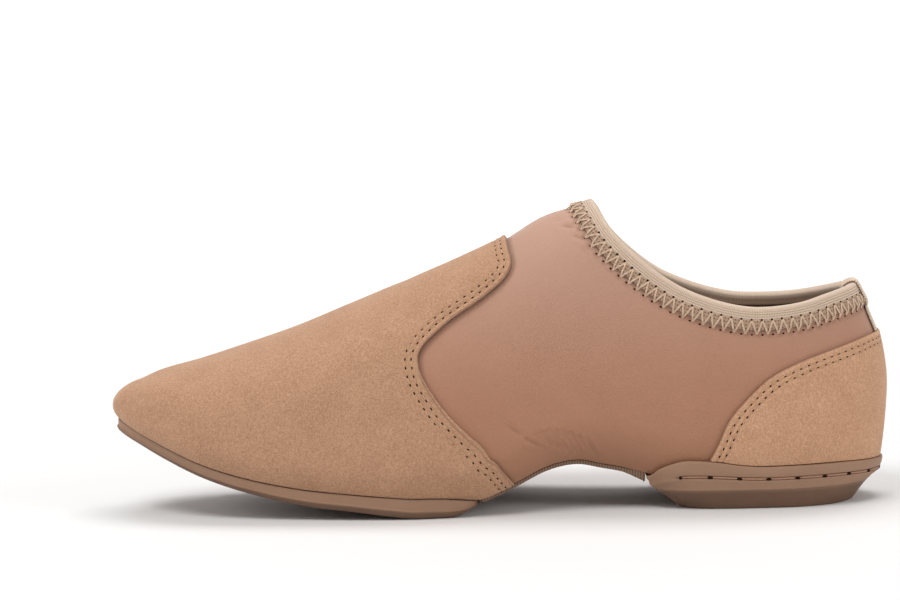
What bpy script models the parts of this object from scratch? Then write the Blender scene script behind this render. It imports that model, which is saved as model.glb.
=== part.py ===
"""Low-heeled split-sole jazz shoe for the right foot, standing empty on its sole.

Metres, +Z up, toe towards -X, the inner (medial) side of the foot towards -Y.
The shell, the overlays, the binding, the insole and the soles all follow one
function of the foot's form, worked out from a few sizes and two tables.
"""

import math
from collections import namedtuple

import bmesh
import bpy
import numpy as np

for old in list(bpy.data.objects):
    bpy.data.objects.remove(old, do_unlink=True)

# Sizes of the form that the shell follows on its outside
LENGTH = 0.2540
BALL_WIDTH = 0.0830
INSTEP_RISE = 0.0927
TOE_SPRING = 0.0265
ARCH_MEDIAL = 0.0168
ARCH_LATERAL = 0.0125

# Soles and heel
PAD_THICKNESS = 0.0068
PAD_BEAD = 0.0003
PAD_REAR = 0.470
HEEL_LIFT = 0.0065
HEEL_TOP = 0.0030
HEEL_SEAT = HEEL_LIFT + HEEL_TOP
HEEL_RIM = 0.0048
HEEL_STEP = 0.0005
HEEL_LIP = 0.0010
HEEL_FRONT = 0.6905
HEEL_RIM_RISE = 0.012
HEEL_TAPER_FRONT = 0.0116
HEEL_TAPER_BACK = 0.0100
HEEL_TAPER_SIDE = 0.0058
HEEL_GROOVE_WIDTH = 0.0011
HEEL_GROOVE_DEPTH = 0.0008
STRIP_THICKNESS = 0.0012
STRIP_END_THICKNESS = 0.0026

# Walls and layers
SHELL_WALL = 0.0020
SUEDE = 0.0010
BINDING_THICKNESS = 0.0008
BINDING_DEPTH = 0.0067
BINDING_INSIDE_DEPTH = 0.0060
TAPE_THICKNESS = 0.0005
TAPE_WIDTH = 0.0095
TAPE_INSIDE_DEPTH = 0.0075
INSOLE_THICKNESS = 0.0022
INSOLE_TOE = 0.030
GAP = 0.0003
SUEDE_GAP = 1.7 * GAP
SOLE_GAP = 1.4 * GAP

# Shares of the length where the form starts and ends its curves
TOE_ROUND = 0.160
TOE_TOP_ROUND = 0.030
TOE_UNDER_ROUND = 0.016
TOE_TURN = 0.010
TOE_FOOT_ROUND = 0.030
TOE_NOSE = 0.42
HEEL_ROUND = 0.170
LEAN_START = 0.60
LEAN_EASE = 0.15
WIDEST = 0.25
END = 0.30

# Flat spot of the pad's tread
FLAT_FRONT = 0.392
FLAT_REAR = 0.430

# One row for each section. Widths are shares of BALL_WIDTH from the axis, heights of INSTEP_RISE
# ridge: top of the form; foot: width at the sole's edge over the widest; bulge: height of the widest
# above the sole's edge; full: how square the section is, 2 for an ellipse
Section = namedtuple("Section", "at medial lateral ridge foot bulge full")
SECTIONS = [
    Section(0.000, 0.290, 0.290, 0.0755, 0.80, 0.045, 2.10),
    Section(0.030, 0.305, 0.315, 0.1288, 0.82, 0.050, 2.12),
    Section(0.060, 0.322, 0.342, 0.2023, 0.84, 0.060, 2.15),
    Section(0.110, 0.352, 0.385, 0.2980, 0.86, 0.075, 2.15),
    Section(0.170, 0.387, 0.434, 0.4000, 0.88, 0.090, 2.12),
    Section(0.240, 0.420, 0.484, 0.5080, 0.89, 0.100, 2.08),
    Section(0.310, 0.443, 0.528, 0.6090, 0.90, 0.110, 2.05),
    Section(0.380, 0.450, 0.550, 0.7110, 0.88, 0.118, 2.03),
    Section(0.450, 0.428, 0.540, 0.7930, 0.83, 0.130, 2.03),
    Section(0.510, 0.392, 0.510, 0.8690, 0.77, 0.150, 2.05),
    Section(0.560, 0.360, 0.478, 0.9500, 0.735, 0.165, 2.08),
    Section(0.624, 0.340, 0.445, 1.0000, 0.73, 0.175, 2.10),
    Section(0.660, 0.335, 0.428, 1.0360, 0.75, 0.180, 2.12),
    Section(0.700, 0.338, 0.412, 1.0740, 0.79, 0.180, 2.18),
    Section(0.750, 0.345, 0.398, 1.1220, 0.83, 0.180, 2.24),
    Section(0.820, 0.352, 0.385, 1.1780, 0.86, 0.180, 2.32),
    Section(0.900, 0.350, 0.368, 1.2050, 0.87, 0.185, 2.40),
    Section(1.000, 0.335, 0.335, 1.2100, 0.88, 0.190, 2.50),
]

# Height of the sole's edge, as shares of the pad, the toe spring, the arch and the heel seat
Under = namedtuple("Under", "at pad spring arch seat")
UNDERSIDE = [
    Under(0.000, 0.72, 1.000, 0.00, 0.00),
    Under(0.030, 0.72, 0.870, 0.00, 0.00),
    Under(0.060, 0.73, 0.730, 0.00, 0.00),
    Under(0.110, 0.74, 0.520, 0.00, 0.00),
    Under(0.170, 0.77, 0.340, 0.00, 0.00),
    Under(0.240, 0.87, 0.184, 0.00, 0.00),
    Under(0.310, 0.92, 0.098, 0.00, 0.00),
    Under(0.350, 0.98, 0.044, 0.00, 0.00),
    Under(FLAT_FRONT, 1.03, 0.000, 0.00, 0.00),
    Under(FLAT_REAR, 0.97, 0.000, 0.00, 0.00),
    Under(0.470, 0.78, 0.000, 0.02, 0.00),
    Under(0.495, 0.61, 0.000, 0.20, 0.00),
    Under(0.518, 0.45, 0.000, 0.42, 0.00),
    Under(0.561, 0.10, 0.000, 0.86, 0.00),
    Under(0.597, 0.00, 0.000, 1.00, 0.00),
    Under(0.621, 0.00, 0.000, 0.93, 0.02),
    Under(0.651, 0.00, 0.000, 0.70, 0.27),
    Under(0.681, 0.00, 0.000, 0.44, 0.54),
    Under(0.720, 0.00, 0.000, 0.12, 0.82),
    Under(0.780, 0.00, 0.000, 0.00, 1.00),
    Under(1.000, 0.00, 0.000, 0.00, 1.00),
]

# Outline of the back: shift of the back seam in shares of LENGTH, by height in shares of INSTEP_RISE
Back = namedtuple("Back", "height shift")
BACK = [
    Back(0.030, -0.0126),
    Back(0.105, -0.0079),
    Back(0.180, -0.0043),
    Back(0.270, -0.0012),
    Back(0.347, 0.0000),
    Back(0.408, -0.0016),
    Back(0.516, -0.0090),
    Back(0.578, -0.0178),
    Back(0.631, -0.0256),
    Back(0.671, -0.0330),
    Back(0.714, -0.0408),
]

# The collar from the throat (run 0) to the back seam (run 1): heights are shares of INSTEP_RISE
Collar = namedtuple("Collar", "run at medial lateral")
COLLAR = [
    Collar(0.000, 0.6240, 1.000, 1.000),
    Collar(0.100, 0.6310, 0.975, 0.971),
    Collar(0.203, 0.6530, 0.890, 0.874),
    Collar(0.356, 0.7120, 0.760, 0.738),
    Collar(0.462, 0.7620, 0.688, 0.672),
    Collar(0.568, 0.8155, 0.644, 0.630),
    Collar(0.639, 0.8520, 0.634, 0.622),
    Collar(0.744, 0.9080, 0.645, 0.630),
    Collar(0.842, 0.9530, 0.669, 0.653),
    Collar(1.000, 1.0000, 0.690, 0.690),
]

# Rear edge of the vamp from the sole (run 0) to the ridge (run 1); up is its place up the section
Edge = namedtuple("Edge", "run at up")
VAMP_EDGE = [
    Edge(0.000, 0.513, 0.000),
    Edge(0.068, 0.498, 0.128),
    Edge(0.120, 0.487, 0.217),
    Edge(0.148, 0.476, 0.264),
    Edge(0.205, 0.455, 0.309),
    Edge(0.275, 0.429, 0.369),
    Edge(0.335, 0.411, 0.431),
    Edge(0.395, 0.398, 0.497),
    Edge(0.435, 0.395, 0.550),
    Edge(0.470, 0.401, 0.585),
    Edge(0.510, 0.415, 0.614),
    Edge(0.578, 0.441, 0.651),
    Edge(0.642, 0.469, 0.675),
    Edge(0.716, 0.498, 0.700),
    Edge(0.760, 0.512, 0.722),
    Edge(0.815, 0.518, 0.768),
    Edge(0.885, 0.515, 0.846),
    Edge(1.000, 0.513, 1.000),
]

# Top edge of the counter from its front corner (run 0) to the back seam (run 1)
Counter = namedtuple("Counter", "run at height")
COUNTER_EDGE = [
    Counter(0.000, 0.768, 0.095),
    Counter(0.076, 0.780, 0.162),
    Counter(0.178, 0.794, 0.249),
    Counter(0.272, 0.814, 0.317),
    Counter(0.395, 0.846, 0.396),
    Counter(0.519, 0.886, 0.447),
    Counter(0.695, 0.942, 0.491),
    Counter(0.836, 0.980, 0.515),
    Counter(1.000, 1.000, 0.523),
]

# Top of the heel's rim above the seat, in shares of HEEL_RIM
Rim = namedtuple("Rim", "at height")
HEEL_RIM_TOP = [
    Rim(0.688, 0.40),
    Rim(0.697, 0.71),
    Rim(0.717, 1.23),
    Rim(0.738, 1.48),
    Rim(0.775, 1.36),
    Rim(0.805, 1.12),
    Rim(0.835, 1.00),
    Rim(0.922, 1.02),
    Rim(1.000, 0.83),
]

# Underside of the pad's rear end, in shares of PAD_THICKNESS
Rear = namedtuple("Rear", "at height")
PAD_UNDER_REAR = [Rear(FLAT_REAR, 0.00), Rear(0.445, 0.09), Rear(0.458, 0.25), Rear(PAD_REAR, 0.45)]

# Side of the pad from the tread up: height in shares of the pad, out in shares of PAD_BEAD
PadRing = namedtuple("PadRing", "height out")
PAD_RINGS = [
    PadRing(0.00, -6.0),
    PadRing(0.10, -2.2),
    PadRing(0.27, 0.2),
    PadRing(0.44, 0.6),
    PadRing(0.47, -0.9),
    PadRing(0.96, -1.1),
    PadRing(1.00, -2.0),
]

# Side of the heel below its groove: height in shares of HEEL_LIFT, the rest in shares of the tapers
HeelRing = namedtuple("HeelRing", "height front back side")
HEEL_RINGS = [
    HeelRing(0.00, 1.00, 1.00, 1.00),
    HeelRing(0.11, 0.93, 0.94, 0.93),
    HeelRing(0.55, 0.63, 0.72, 0.64),
    HeelRing(1.00, 0.30, 0.47, 0.36),
]


def smooth(rows, column, at, flat_ends=False):
    """Value of a table's column at a place, on a curve that doesn't overshoot its rows."""
    places = np.array([row[0] for row in rows], float)
    values = np.array([getattr(row, column) for row in rows], float)
    steps = np.diff(values) / np.diff(places)
    slopes = np.zeros(len(places))
    slopes[1:-1] = np.where(steps[:-1] * steps[1:] > 0, (steps[:-1] + steps[1:]) / 2, 0)
    if not flat_ends:
        slopes[0] = steps[0]
        slopes[-1] = steps[-1]
    for i, step in enumerate(steps):
        most = 3 * abs(step)
        slopes[i] = np.clip(slopes[i], -most, most)
        slopes[i + 1] = np.clip(slopes[i + 1], -most, most)
    at = np.clip(np.asarray(at, float), places[0], places[-1])
    i = np.clip(np.searchsorted(places, at, side="right") - 1, 0, len(places) - 2)
    width = places[i + 1] - places[i]
    t = (at - places[i]) / width
    start = (2 * t**3 - 3 * t**2 + 1) * values[i] + (t**3 - 2 * t**2 + t) * width * slopes[i]
    end = (3 * t**2 - 2 * t**3) * values[i + 1] + (t**3 - t**2) * width * slopes[i + 1]
    return start + end


def rounded(t):
    """Quarter circle from 0 at the tip to 1."""
    t = np.clip(t, 0, 1)
    return np.sqrt(t * (2 - t))


def sole_edge(side, at):
    """Height of the edge where the form meets the sole."""
    arch = np.where(np.asarray(side) < 0, ARCH_MEDIAL, ARCH_LATERAL)
    pad = PAD_THICKNESS * smooth(UNDERSIDE, "pad", at)
    spring = TOE_SPRING * smooth(UNDERSIDE, "spring", at)
    seat = HEEL_SEAT * smooth(UNDERSIDE, "seat", at)
    return pad + spring + arch * smooth(UNDERSIDE, "arch", at) + seat


def height_of(share):
    """Height of a share of the instep, measured from the top of the pad."""
    return PAD_THICKNESS + INSTEP_RISE * np.asarray(share, float)


def section(side, at):
    """Half width, lowest and highest height, foot width, height of the widest and squareness."""
    inner = smooth(SECTIONS, "medial", at)
    outer = smooth(SECTIONS, "lateral", at)
    half = BALL_WIDTH * np.where(np.asarray(side) < 0, inner, outer)
    half = half * rounded(at / TOE_ROUND) * rounded((1 - at) / HEEL_ROUND)
    edge = sole_edge(side, at)
    ridge = height_of(smooth(SECTIONS, "ridge", at)) + TOE_SPRING * smooth(UNDERSIDE, "spring", at)
    nose = edge + TOE_NOSE * (ridge - edge)
    low = nose - (nose - edge) * rounded(at / TOE_UNDER_ROUND)
    high = nose + (ridge - nose) * rounded(at / TOE_TOP_ROUND)
    foot = smooth(SECTIONS, "foot", at) * rounded((at - TOE_TURN) / TOE_FOOT_ROUND)
    bulge = np.minimum(INSTEP_RISE * smooth(SECTIONS, "bulge", at), 0.45 * (high - low))
    return half, low, high, foot, bulge, smooth(SECTIONS, "full", at)


def eased(t, end=END):
    """Curve that starts level at 0 and is nearly straight further on to 1."""
    return t**2 * (1 + end) / (t + end)


def along(at, height):
    """Place along X of a share of the length at a height, with the lean of the back."""
    lean = eased(np.clip((at - LEAN_START) / (1 - LEAN_START), 0, 1), LEAN_EASE)
    share = (height - PAD_THICKNESS) / INSTEP_RISE
    return LENGTH * (at - 0.5 + lean * smooth(BACK, "shift", share))


def at_edge(x):
    """Share of the length whose sole edge lies at a place along X."""
    share = np.clip(x / LENGTH + 0.5, 0, 1)
    lean = eased(np.clip((share - LEAN_START) / (1 - LEAN_START), 0, 1), LEAN_EASE)
    low = (HEEL_SEAT - PAD_THICKNESS) / INSTEP_RISE
    return np.clip(share - lean * smooth(BACK, "shift", low), 0, 1)


def form(side, at, up):
    """Point of the form: side -1 medial or 1 lateral, at 0 toe to 1 heel, up 0 sole to 1 ridge."""
    half, low, high, foot, bulge, full = section(side, at)
    below = np.clip(up / WIDEST, 0, 1)
    turn = np.clip((up - WIDEST) / (1 - WIDEST), 0, 1) * math.pi / 2
    z_below = low + bulge * below
    y_below = half * (1 - (1 - foot) * (1 - below) ** 2)
    z_above = low + bulge + (high - low - bulge) * np.sin(turn) ** (2 / full)
    y_above = half * np.maximum(np.cos(turn), 0) ** (2 / full)
    z = np.where(up < WIDEST, z_below, z_above)
    y = np.where(up < WIDEST, y_below, y_above)
    return np.stack([along(at, z), side * y, z], axis=-1)


def up_of(side, at, height):
    """How far up the section a height lies."""
    half, low, high, foot, bulge, full = section(side, at)
    below = WIDEST * (height - low) / bulge
    share = np.clip((height - low - bulge) / (high - low - bulge), 0, 1)
    above = WIDEST + (1 - WIDEST) * np.arcsin(share ** (full / 2)) * 2 / math.pi
    return np.clip(np.where(height < low + bulge, below, above), 0, 1)


def at_of(v):
    """Share of the length for a parameter in which both round ends are smooth."""
    return 1 - eased(1 - eased(v))


def v_of(at):
    """Inverse of at_of."""
    def back(share):
        half = share / (2 * (1 + END))
        return half + np.sqrt(half**2 + 2 * half * END)
    return back(1 - back(1 - np.asarray(at, float)))


def slopes_of(side, v, up):
    """The form's derivatives along its length parameter and up its section."""
    step = 0.0015
    v = np.clip(v, 0.004, 1)
    v1, v2 = np.clip(v - step, 0, 1), np.clip(v + step, 0, 1)
    u1, u2 = np.clip(up - step, 0, 1), np.clip(up + step, 0, 1)
    lengthways = (form(side, at_of(v2), up) - form(side, at_of(v1), up)) / (v2 - v1)[..., None]
    upwards = (form(side, at_of(v), u2) - form(side, at_of(v), u1)) / (u2 - u1)[..., None]
    return lengthways, upwards


def unit(vectors):
    return vectors / np.maximum(np.linalg.norm(vectors, axis=-1, keepdims=True), 1e-12)


def normals(side, at, up):
    """Outward normals of the form."""
    side, at, up = np.broadcast_arrays(np.asarray(side, float), at, up)
    lengthways, upwards = slopes_of(side, v_of(at), up)
    return unit(np.cross(upwards, lengthways) * side[..., None])


def layer(side, at, up, out):
    """Point of the form moved outwards."""
    side, at, up, out = np.broadcast_arrays(np.asarray(side, float), at, up, out)
    return form(side, at, up) + normals(side, at, up) * out[..., None]


def sheet(patches, inner, outer):
    """Points and faces of a layer between two distances from the form, over grids of places on it."""
    places = [np.broadcast_arrays(np.asarray(side, float), at, up) for side, at, up in patches]
    base = np.concatenate([form(*place).reshape(-1, 3) for place in places])
    facing = np.concatenate([normals(*place).reshape(-1, 3) for place in places])
    _, first, same = np.unique(np.round(base * 1e6), axis=0, return_index=True, return_inverse=True)
    same = same.reshape(-1)
    mean = np.zeros((len(first), 3))
    np.add.at(mean, same, facing)
    mean = unit(mean)
    count = len(first)
    faces = []
    start = 0
    for side, at, up in places:
        columns, rows = at.shape
        ids = same[start:start + at.size].reshape(columns, rows)
        start += at.size
        for i in range(columns - 1):
            for j in range(rows - 1):
                corners = [ids[i, j], ids[i + 1, j], ids[i + 1, j + 1], ids[i, j + 1]]
                if side.flat[0] > 0:
                    corners.reverse()
                faces.append(corners)
    faces = [whole for whole in map(without_repeats, faces) if len(whole) > 2]
    edges = {}
    for face in faces:
        for a, b in zip(face, face[1:] + face[:1]):
            edges[(a, b)] = True
    skin = faces + [[i + count for i in reversed(face)] for face in faces]
    skin += [[b, a, a + count, b + count] for a, b in edges if (b, a) not in edges]
    return np.concatenate([base[first] + mean * outer, base[first] + mean * inner]), skin


def without_repeats(face):
    kept = [int(a) for k, a in enumerate(face) if a != face[k - 1]]
    return kept


def loop_of(medial, lateral):
    """Closed outline from its two sides, front to rear, and the pairs that face each other."""
    front = np.allclose(medial[0, :2], lateral[0, :2])
    rear = np.allclose(medial[-1, :2], lateral[-1, :2])
    other = lateral[int(front):len(lateral) - int(rear)][::-1]
    loop = np.concatenate([medial, other])
    last = len(loop)
    pairs = []
    for i in range(len(medial)):
        if front:
            pairs.append((i, (last - i) % last))
        else:
            pairs.append((i, last - 1 - i))
    if rear:
        pairs[-1] = (len(medial) - 1, len(medial) - 1)
    return loop, pairs


def outset(loop, out):
    """Outline moved outwards in plan."""
    run = np.roll(loop[:, :2], -1, axis=0) - np.roll(loop[:, :2], 1, axis=0)
    turned = unit(np.stack([run[:, 1], -run[:, 0]], axis=-1))
    centre = loop[:, :2].mean(axis=0)
    if np.sum(turned * (loop[:, :2] - centre)) < 0:
        turned = -turned
    moved = loop.copy()
    moved[:, :2] += turned * np.broadcast_to(out, len(loop))[:, None]
    return moved


def tower(rings, pairs):
    """Points and faces of a solid through a stack of outlines, closed at both ends."""
    count = len(rings[0])
    faces = []
    for level in range(len(rings) - 1):
        for i in range(count):
            a, b = level * count + i, level * count + (i + 1) % count
            faces.append([a, b, b + count, a + count])
    top = (len(rings) - 1) * count
    for (a, b), (c, d) in zip(pairs, pairs[1:]):
        faces.append([a, b, d, c])
        faces.append([top + c, top + d, top + b, top + a])
    faces = [whole for whole in map(without_repeats, faces) if len(whole) > 2]
    return np.concatenate(rings), faces


def ring_tower(rings, closed=True):
    """Points and faces of a tube through profiles, joined end to end or capped."""
    count = len(rings[0])
    levels = len(rings)
    faces = []
    for level in range(levels if closed else levels - 1):
        after = (level + 1) % levels
        for i in range(count):
            j = (i + 1) % count
            faces.append([level * count + i, level * count + j, after * count + j, after * count + i])
    if not closed:
        for first in (0, (levels - 1) * count):
            for i in range(count // 2 - 1):
                faces.append([first + i, first + i + 1, first + count - 2 - i, first + count - 1 - i])
    return np.concatenate(rings), faces


def front_places(count, rear):
    """Shares of the length from the toe to a place: fine round the toe."""
    turn = TOE_TURN * (np.arange(3) / 3) ** 2
    t = np.linspace(0, 1, count)
    return np.concatenate([turn, TOE_TURN + (rear - TOE_TURN) * t**2 * 1.25 / (t + 0.25)])


def crowned(count):
    """Shares from 0 to 1, closer together towards both ends."""
    t = np.linspace(0, 1, count + 1)
    return t - 0.35 * np.sin(2 * math.pi * t) / (2 * math.pi)


def collar_place(side, run):
    """Where the collar's edge lies on the form."""
    at = smooth(COLLAR, "at", run, flat_ends=True)
    heights = np.where(
        np.asarray(side) < 0,
        smooth(COLLAR, "medial", run, flat_ends=True),
        smooth(COLLAR, "lateral", run, flat_ends=True),
    )
    return at, up_of(side, at, height_of(heights))


def walk(side, at, up, heading, distance, steps=8):
    """Place on the form after walking over it a distance in a heading."""
    v = v_of(at)
    for _ in range(steps):
        lengthways, upwards = slopes_of(side, v, up)
        facing = unit(np.cross(upwards, lengthways))
        heading = unit(heading - facing * np.sum(heading * facing, axis=-1, keepdims=True))
        aa = np.sum(lengthways * lengthways, axis=-1)
        bb = np.sum(upwards * upwards, axis=-1)
        ab = np.sum(lengthways * upwards, axis=-1)
        ah = np.sum(lengthways * heading, axis=-1)
        bh = np.sum(upwards * heading, axis=-1)
        base = aa * bb - ab * ab
        v = np.clip(v + (ah * bb - bh * ab) / base * distance / steps, 0, 1)
        up = np.clip(up + (bh * aa - ah * ab) / base * distance / steps, 0, 1)
    return at_of(v), up


def on_band(side, run, depth, out):
    """Point at a depth below the collar's edge and a distance outside the form."""
    side, run = np.broadcast_arrays(np.asarray(side, float), run)
    step = 0.004
    at, up = collar_place(side, run)
    before = form(side, *collar_place(side, np.clip(run - step, 0, 1)))
    after = form(side, *collar_place(side, np.clip(run + step, 0, 1)))
    facing = normals(side, at, up)
    ends = (run < 1e-6) | (run > 1 - 1e-6)
    facing[ends, 1] = 0
    course = unit(after - before)
    course[ends] = np.stack([0 * side, -side * np.sign(run - 0.5), 0 * side], axis=-1)[ends]
    heading = unit(np.cross(course, facing)) * -side[..., None]
    if depth <= 0:
        return form(side, at, up) + facing * out + heading * depth
    at, up = walk(side, at, up, heading, depth)
    facing = normals(side, at, up)
    facing[ends, 1] = 0
    return form(side, at, up) + unit(facing) * out


def clear_up(side, at, out, floor):
    """Lowest place up the section at which a layer's outside stays above a floor."""
    low = np.zeros(np.shape(at))
    high = np.full(np.shape(at), WIDEST)
    free = above_floor(side, at, low, out, floor)
    for _ in range(18):
        middle = (low + high) / 2
        passed = above_floor(side, at, middle, out, floor)
        high = np.where(passed, middle, high)
        low = np.where(passed, low, middle)
    return np.where(free, 0, high)


def above_floor(side, at, up, out, floor):
    place = layer(side, at, up, out)
    return place[..., 2] >= floor(side, place[..., 0])


def tread_floor(side, x):
    """Just above the top of the pad and of the strip behind it."""
    return sole_edge(side, at_edge(x)) - SOLE_GAP + GAP


def rim_top(x):
    at = np.clip(x / LENGTH + 0.5, 0, 1)
    return HEEL_SEAT + HEEL_RIM * smooth(HEEL_RIM_TOP, "height", at)


def rim_floor(side, x):
    """Just above the rim of the heel."""
    return rim_top(x) + GAP


def add(name, points, faces, colour, roughness):
    mesh = bpy.data.meshes.new(name)
    mesh.from_pydata([tuple(map(float, point)) for point in points], [], faces)
    shape = bmesh.new()
    shape.from_mesh(mesh)
    bmesh.ops.remove_doubles(shape, verts=shape.verts, dist=1e-6)
    bmesh.ops.dissolve_degenerate(shape, edges=shape.edges, dist=1e-6)
    bmesh.ops.recalc_face_normals(shape, faces=shape.faces)
    if shape.calc_volume(signed=True) < 0:
        bmesh.ops.reverse_faces(shape, faces=shape.faces)
    bmesh.ops.triangulate(shape, faces=shape.faces)
    shape.to_mesh(mesh)
    shape.free()
    material = bpy.data.materials.new(name + "_material")
    material.use_nodes = True
    shader = material.node_tree.nodes["Principled BSDF"]
    shader.inputs["Base Color"].default_value = (*colour, 1)
    shader.inputs["Roughness"].default_value = roughness
    mesh.materials.append(material)
    piece = bpy.data.objects.new(name, mesh)
    bpy.context.scene.collection.objects.link(piece)
    return piece


SUEDE_COLOUR = (0.53, 0.30, 0.17)
CLOTH_COLOUR = (0.44, 0.24, 0.15)
BINDING_COLOUR = (0.64, 0.45, 0.30)
RUBBER_COLOUR = (0.27, 0.16, 0.10)
LINING_COLOUR = (0.30, 0.18, 0.12)

# Shell
ROWS = 14
COLLAR_STEPS = 20
rise = crowned(ROWS)
collar_runs = crowned(COLLAR_STEPS)
front = front_places(25, COLLAR[0].at)
places = np.concatenate([front, collar_place(-1, collar_runs)[0][1:]])
shell = []
for side in (-1, 1):
    shell.append((side, front[:, None] + 0 * rise, rise + 0 * front[:, None]))
    at, top = collar_place(side, collar_runs)
    shell.append((side, at[:, None] + 0 * rise, top[:, None] * rise))
points, faces = sheet(shell, -SHELL_WALL, 0)
add("upper", points, faces, CLOTH_COLOUR, 0.7)

# Vamp laid over the shell, down to just above the pad
VAMP_ROWS = 14
run = crowned(VAMP_ROWS)
edge_at = smooth(VAMP_EDGE, "at", run)
edge_up = smooth(VAMP_EDGE, "up", run)
share = front_places(16, 0.5)[:, None] / 0.5
blend = share**2 * (3 - 2 * share)
vamp = []
for side in (-1, 1):
    at = share * edge_at
    low = clear_up(side, at[:, :1], SUEDE_GAP + SUEDE, tread_floor)
    vamp.append((side, at, low + (1 - low) * (run * (1 - blend) + edge_up * blend)))
points, faces = sheet(vamp, SUEDE_GAP, SUEDE_GAP + SUEDE)
add("vamp", points, faces, SUEDE_COLOUR, 0.9)

# Counter laid over the back of the shell, down to just above the heel's rim
run = crowned(17)
rise = np.linspace(0, 1, 7)
at = smooth(COUNTER_EDGE, "at", run)
counter = []
for side in (-1, 1):
    low = clear_up(side, at, SUEDE_GAP + SUEDE, rim_floor)
    top = np.maximum(up_of(side, at, height_of(smooth(COUNTER_EDGE, "height", run))), low)
    top[0] = low[0]
    counter.append((side, at[:, None] + 0 * rise, low[:, None] + (top - low)[:, None] * rise))
points, faces = sheet(counter, SUEDE_GAP, SUEDE_GAP + SUEDE)
add("heel_counter", points, faces, SUEDE_COLOUR, 0.9)

# Binding folded over the collar's edge: depth below the edge and distance outside the form
outside = GAP + BINDING_THICKNESS
half = BINDING_THICKNESS / 2
lining = -SHELL_WALL - 2 * GAP
inside = lining - BINDING_THICKNESS
BINDING_PROFILE = [
    (BINDING_DEPTH, GAP),
    (BINDING_DEPTH - half, outside),
    (BINDING_DEPTH / 2, outside),
    (0, outside),
    (-GAP - half, outside - half),
    (-GAP - BINDING_THICKNESS, -SHELL_WALL / 2),
    (-GAP - half, inside + half),
    (0, inside),
    (BINDING_INSIDE_DEPTH / 2, inside),
    (BINDING_INSIDE_DEPTH, inside),
    (BINDING_INSIDE_DEPTH, lining),
    (BINDING_INSIDE_DEPTH / 2, lining),
    (0, lining),
    (-GAP, lining + GAP / 2),
    (-GAP, GAP / 2),
    (0, GAP),
    (BINDING_DEPTH / 2, GAP),
]
stops = [(-1.0, r) for r in collar_runs] + [(1.0, r) for r in collar_runs[-2:0:-1]]
sides = np.array([stop[0] for stop in stops])
runs = np.array([stop[1] for stop in stops])
bands = np.stack([on_band(sides, runs, depth, out) for depth, out in BINDING_PROFILE], axis=1)
points, faces = ring_tower(list(bands))
add("collar_binding", points, faces, BINDING_COLOUR, 0.8)

# Tape up the back seam from the counter, over the binding and down inside
near_back = np.linspace(1, 0.8, 100)
edge_points = form(-1, *collar_place(-1, near_back))
from_seam = np.concatenate([[0], np.cumsum(np.linalg.norm(np.diff(edge_points, axis=0), axis=1))])
seam_ends = [up_of(-1, 1.0, height_of(share)) for share in (COUNTER_EDGE[-1].height, COLLAR[-1].medial)]
seam_up = np.linspace(*seam_ends, 60)
seam_points = form(-1, np.ones(60), seam_up)
seam_length = np.sum(np.linalg.norm(np.diff(seam_points, axis=0), axis=1))
tape_depth = seam_length - 3 * GAP
over = 2 * GAP + BINDING_THICKNESS
step_down = min(BINDING_DEPTH + 4 * GAP, tape_depth - GAP)
bend = 2 * GAP + half
TAPE_PATH = [
    (tape_depth, GAP),
    (step_down + GAP, GAP),
    (BINDING_DEPTH + GAP, over),
    (BINDING_DEPTH / 2, over),
    (0, over),
    (-bend, bend),
    (-over, -SHELL_WALL * 0.2),
    (-over, -SHELL_WALL * 0.8),
    (-bend, inside + half - GAP),
    (0, inside - 1.5 * GAP),
    (TAPE_INSIDE_DEPTH, inside - 1.5 * GAP),
]
OUTSIDE_FACING = [(0, 1), (0, 1), (0.7, 1), (0, 1), (0, 1)]
OVER_AND_INSIDE_FACING = [(-0.7, 0.7), (-1, 0), (-1, 0), (-0.7, -0.7), (0, -1), (0, -1)]
path = np.array(TAPE_PATH)
profile = np.concatenate([path + TAPE_THICKNESS * np.array(OUTSIDE_FACING + OVER_AND_INSIDE_FACING), path[::-1]])
aside = np.array([-1, -0.5, 0, 0.5, 1]) * TAPE_WIDTH / 2
sides = np.where(aside < 0, -1.0, 1.0)
runs = np.interp(np.abs(aside), from_seam, near_back)
bands = np.stack([on_band(sides, runs, depth, out) for depth, out in profile], axis=1)
points, faces = ring_tower(list(bands), closed=False)
add("back_seam_tape", points, faces, BINDING_COLOUR, 0.8)


def two_sides(at, place):
    return loop_of(place(-1, at), place(1, at))


def between(start, end, margin):
    """Stations of the shell between two shares of the length, with both ends."""
    inner = places[(places > start + margin) & (places < end - margin)]
    return np.concatenate([[start], inner, [end]])


def on_edge(side, place, drop):
    """Point moved to the height of the sole's edge at its place along X, less a drop."""
    place = place.copy()
    place[..., 2] = sole_edge(side, at_edge(place[..., 0])) - drop
    return place


# Pad under the forefoot
def pad_edge(side, at):
    half = section(side, at)[0]
    foot = smooth(SECTIONS, "foot", at)
    corner = 0.80 + 0.20 * rounded((PAD_REAR - at) * LENGTH / PAD_THICKNESS)
    half = half * (1 + foot) / 2 * corner
    return on_edge(side, np.stack([along(at, 0 * at), side * half, 0 * at], axis=-1), SOLE_GAP)


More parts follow.
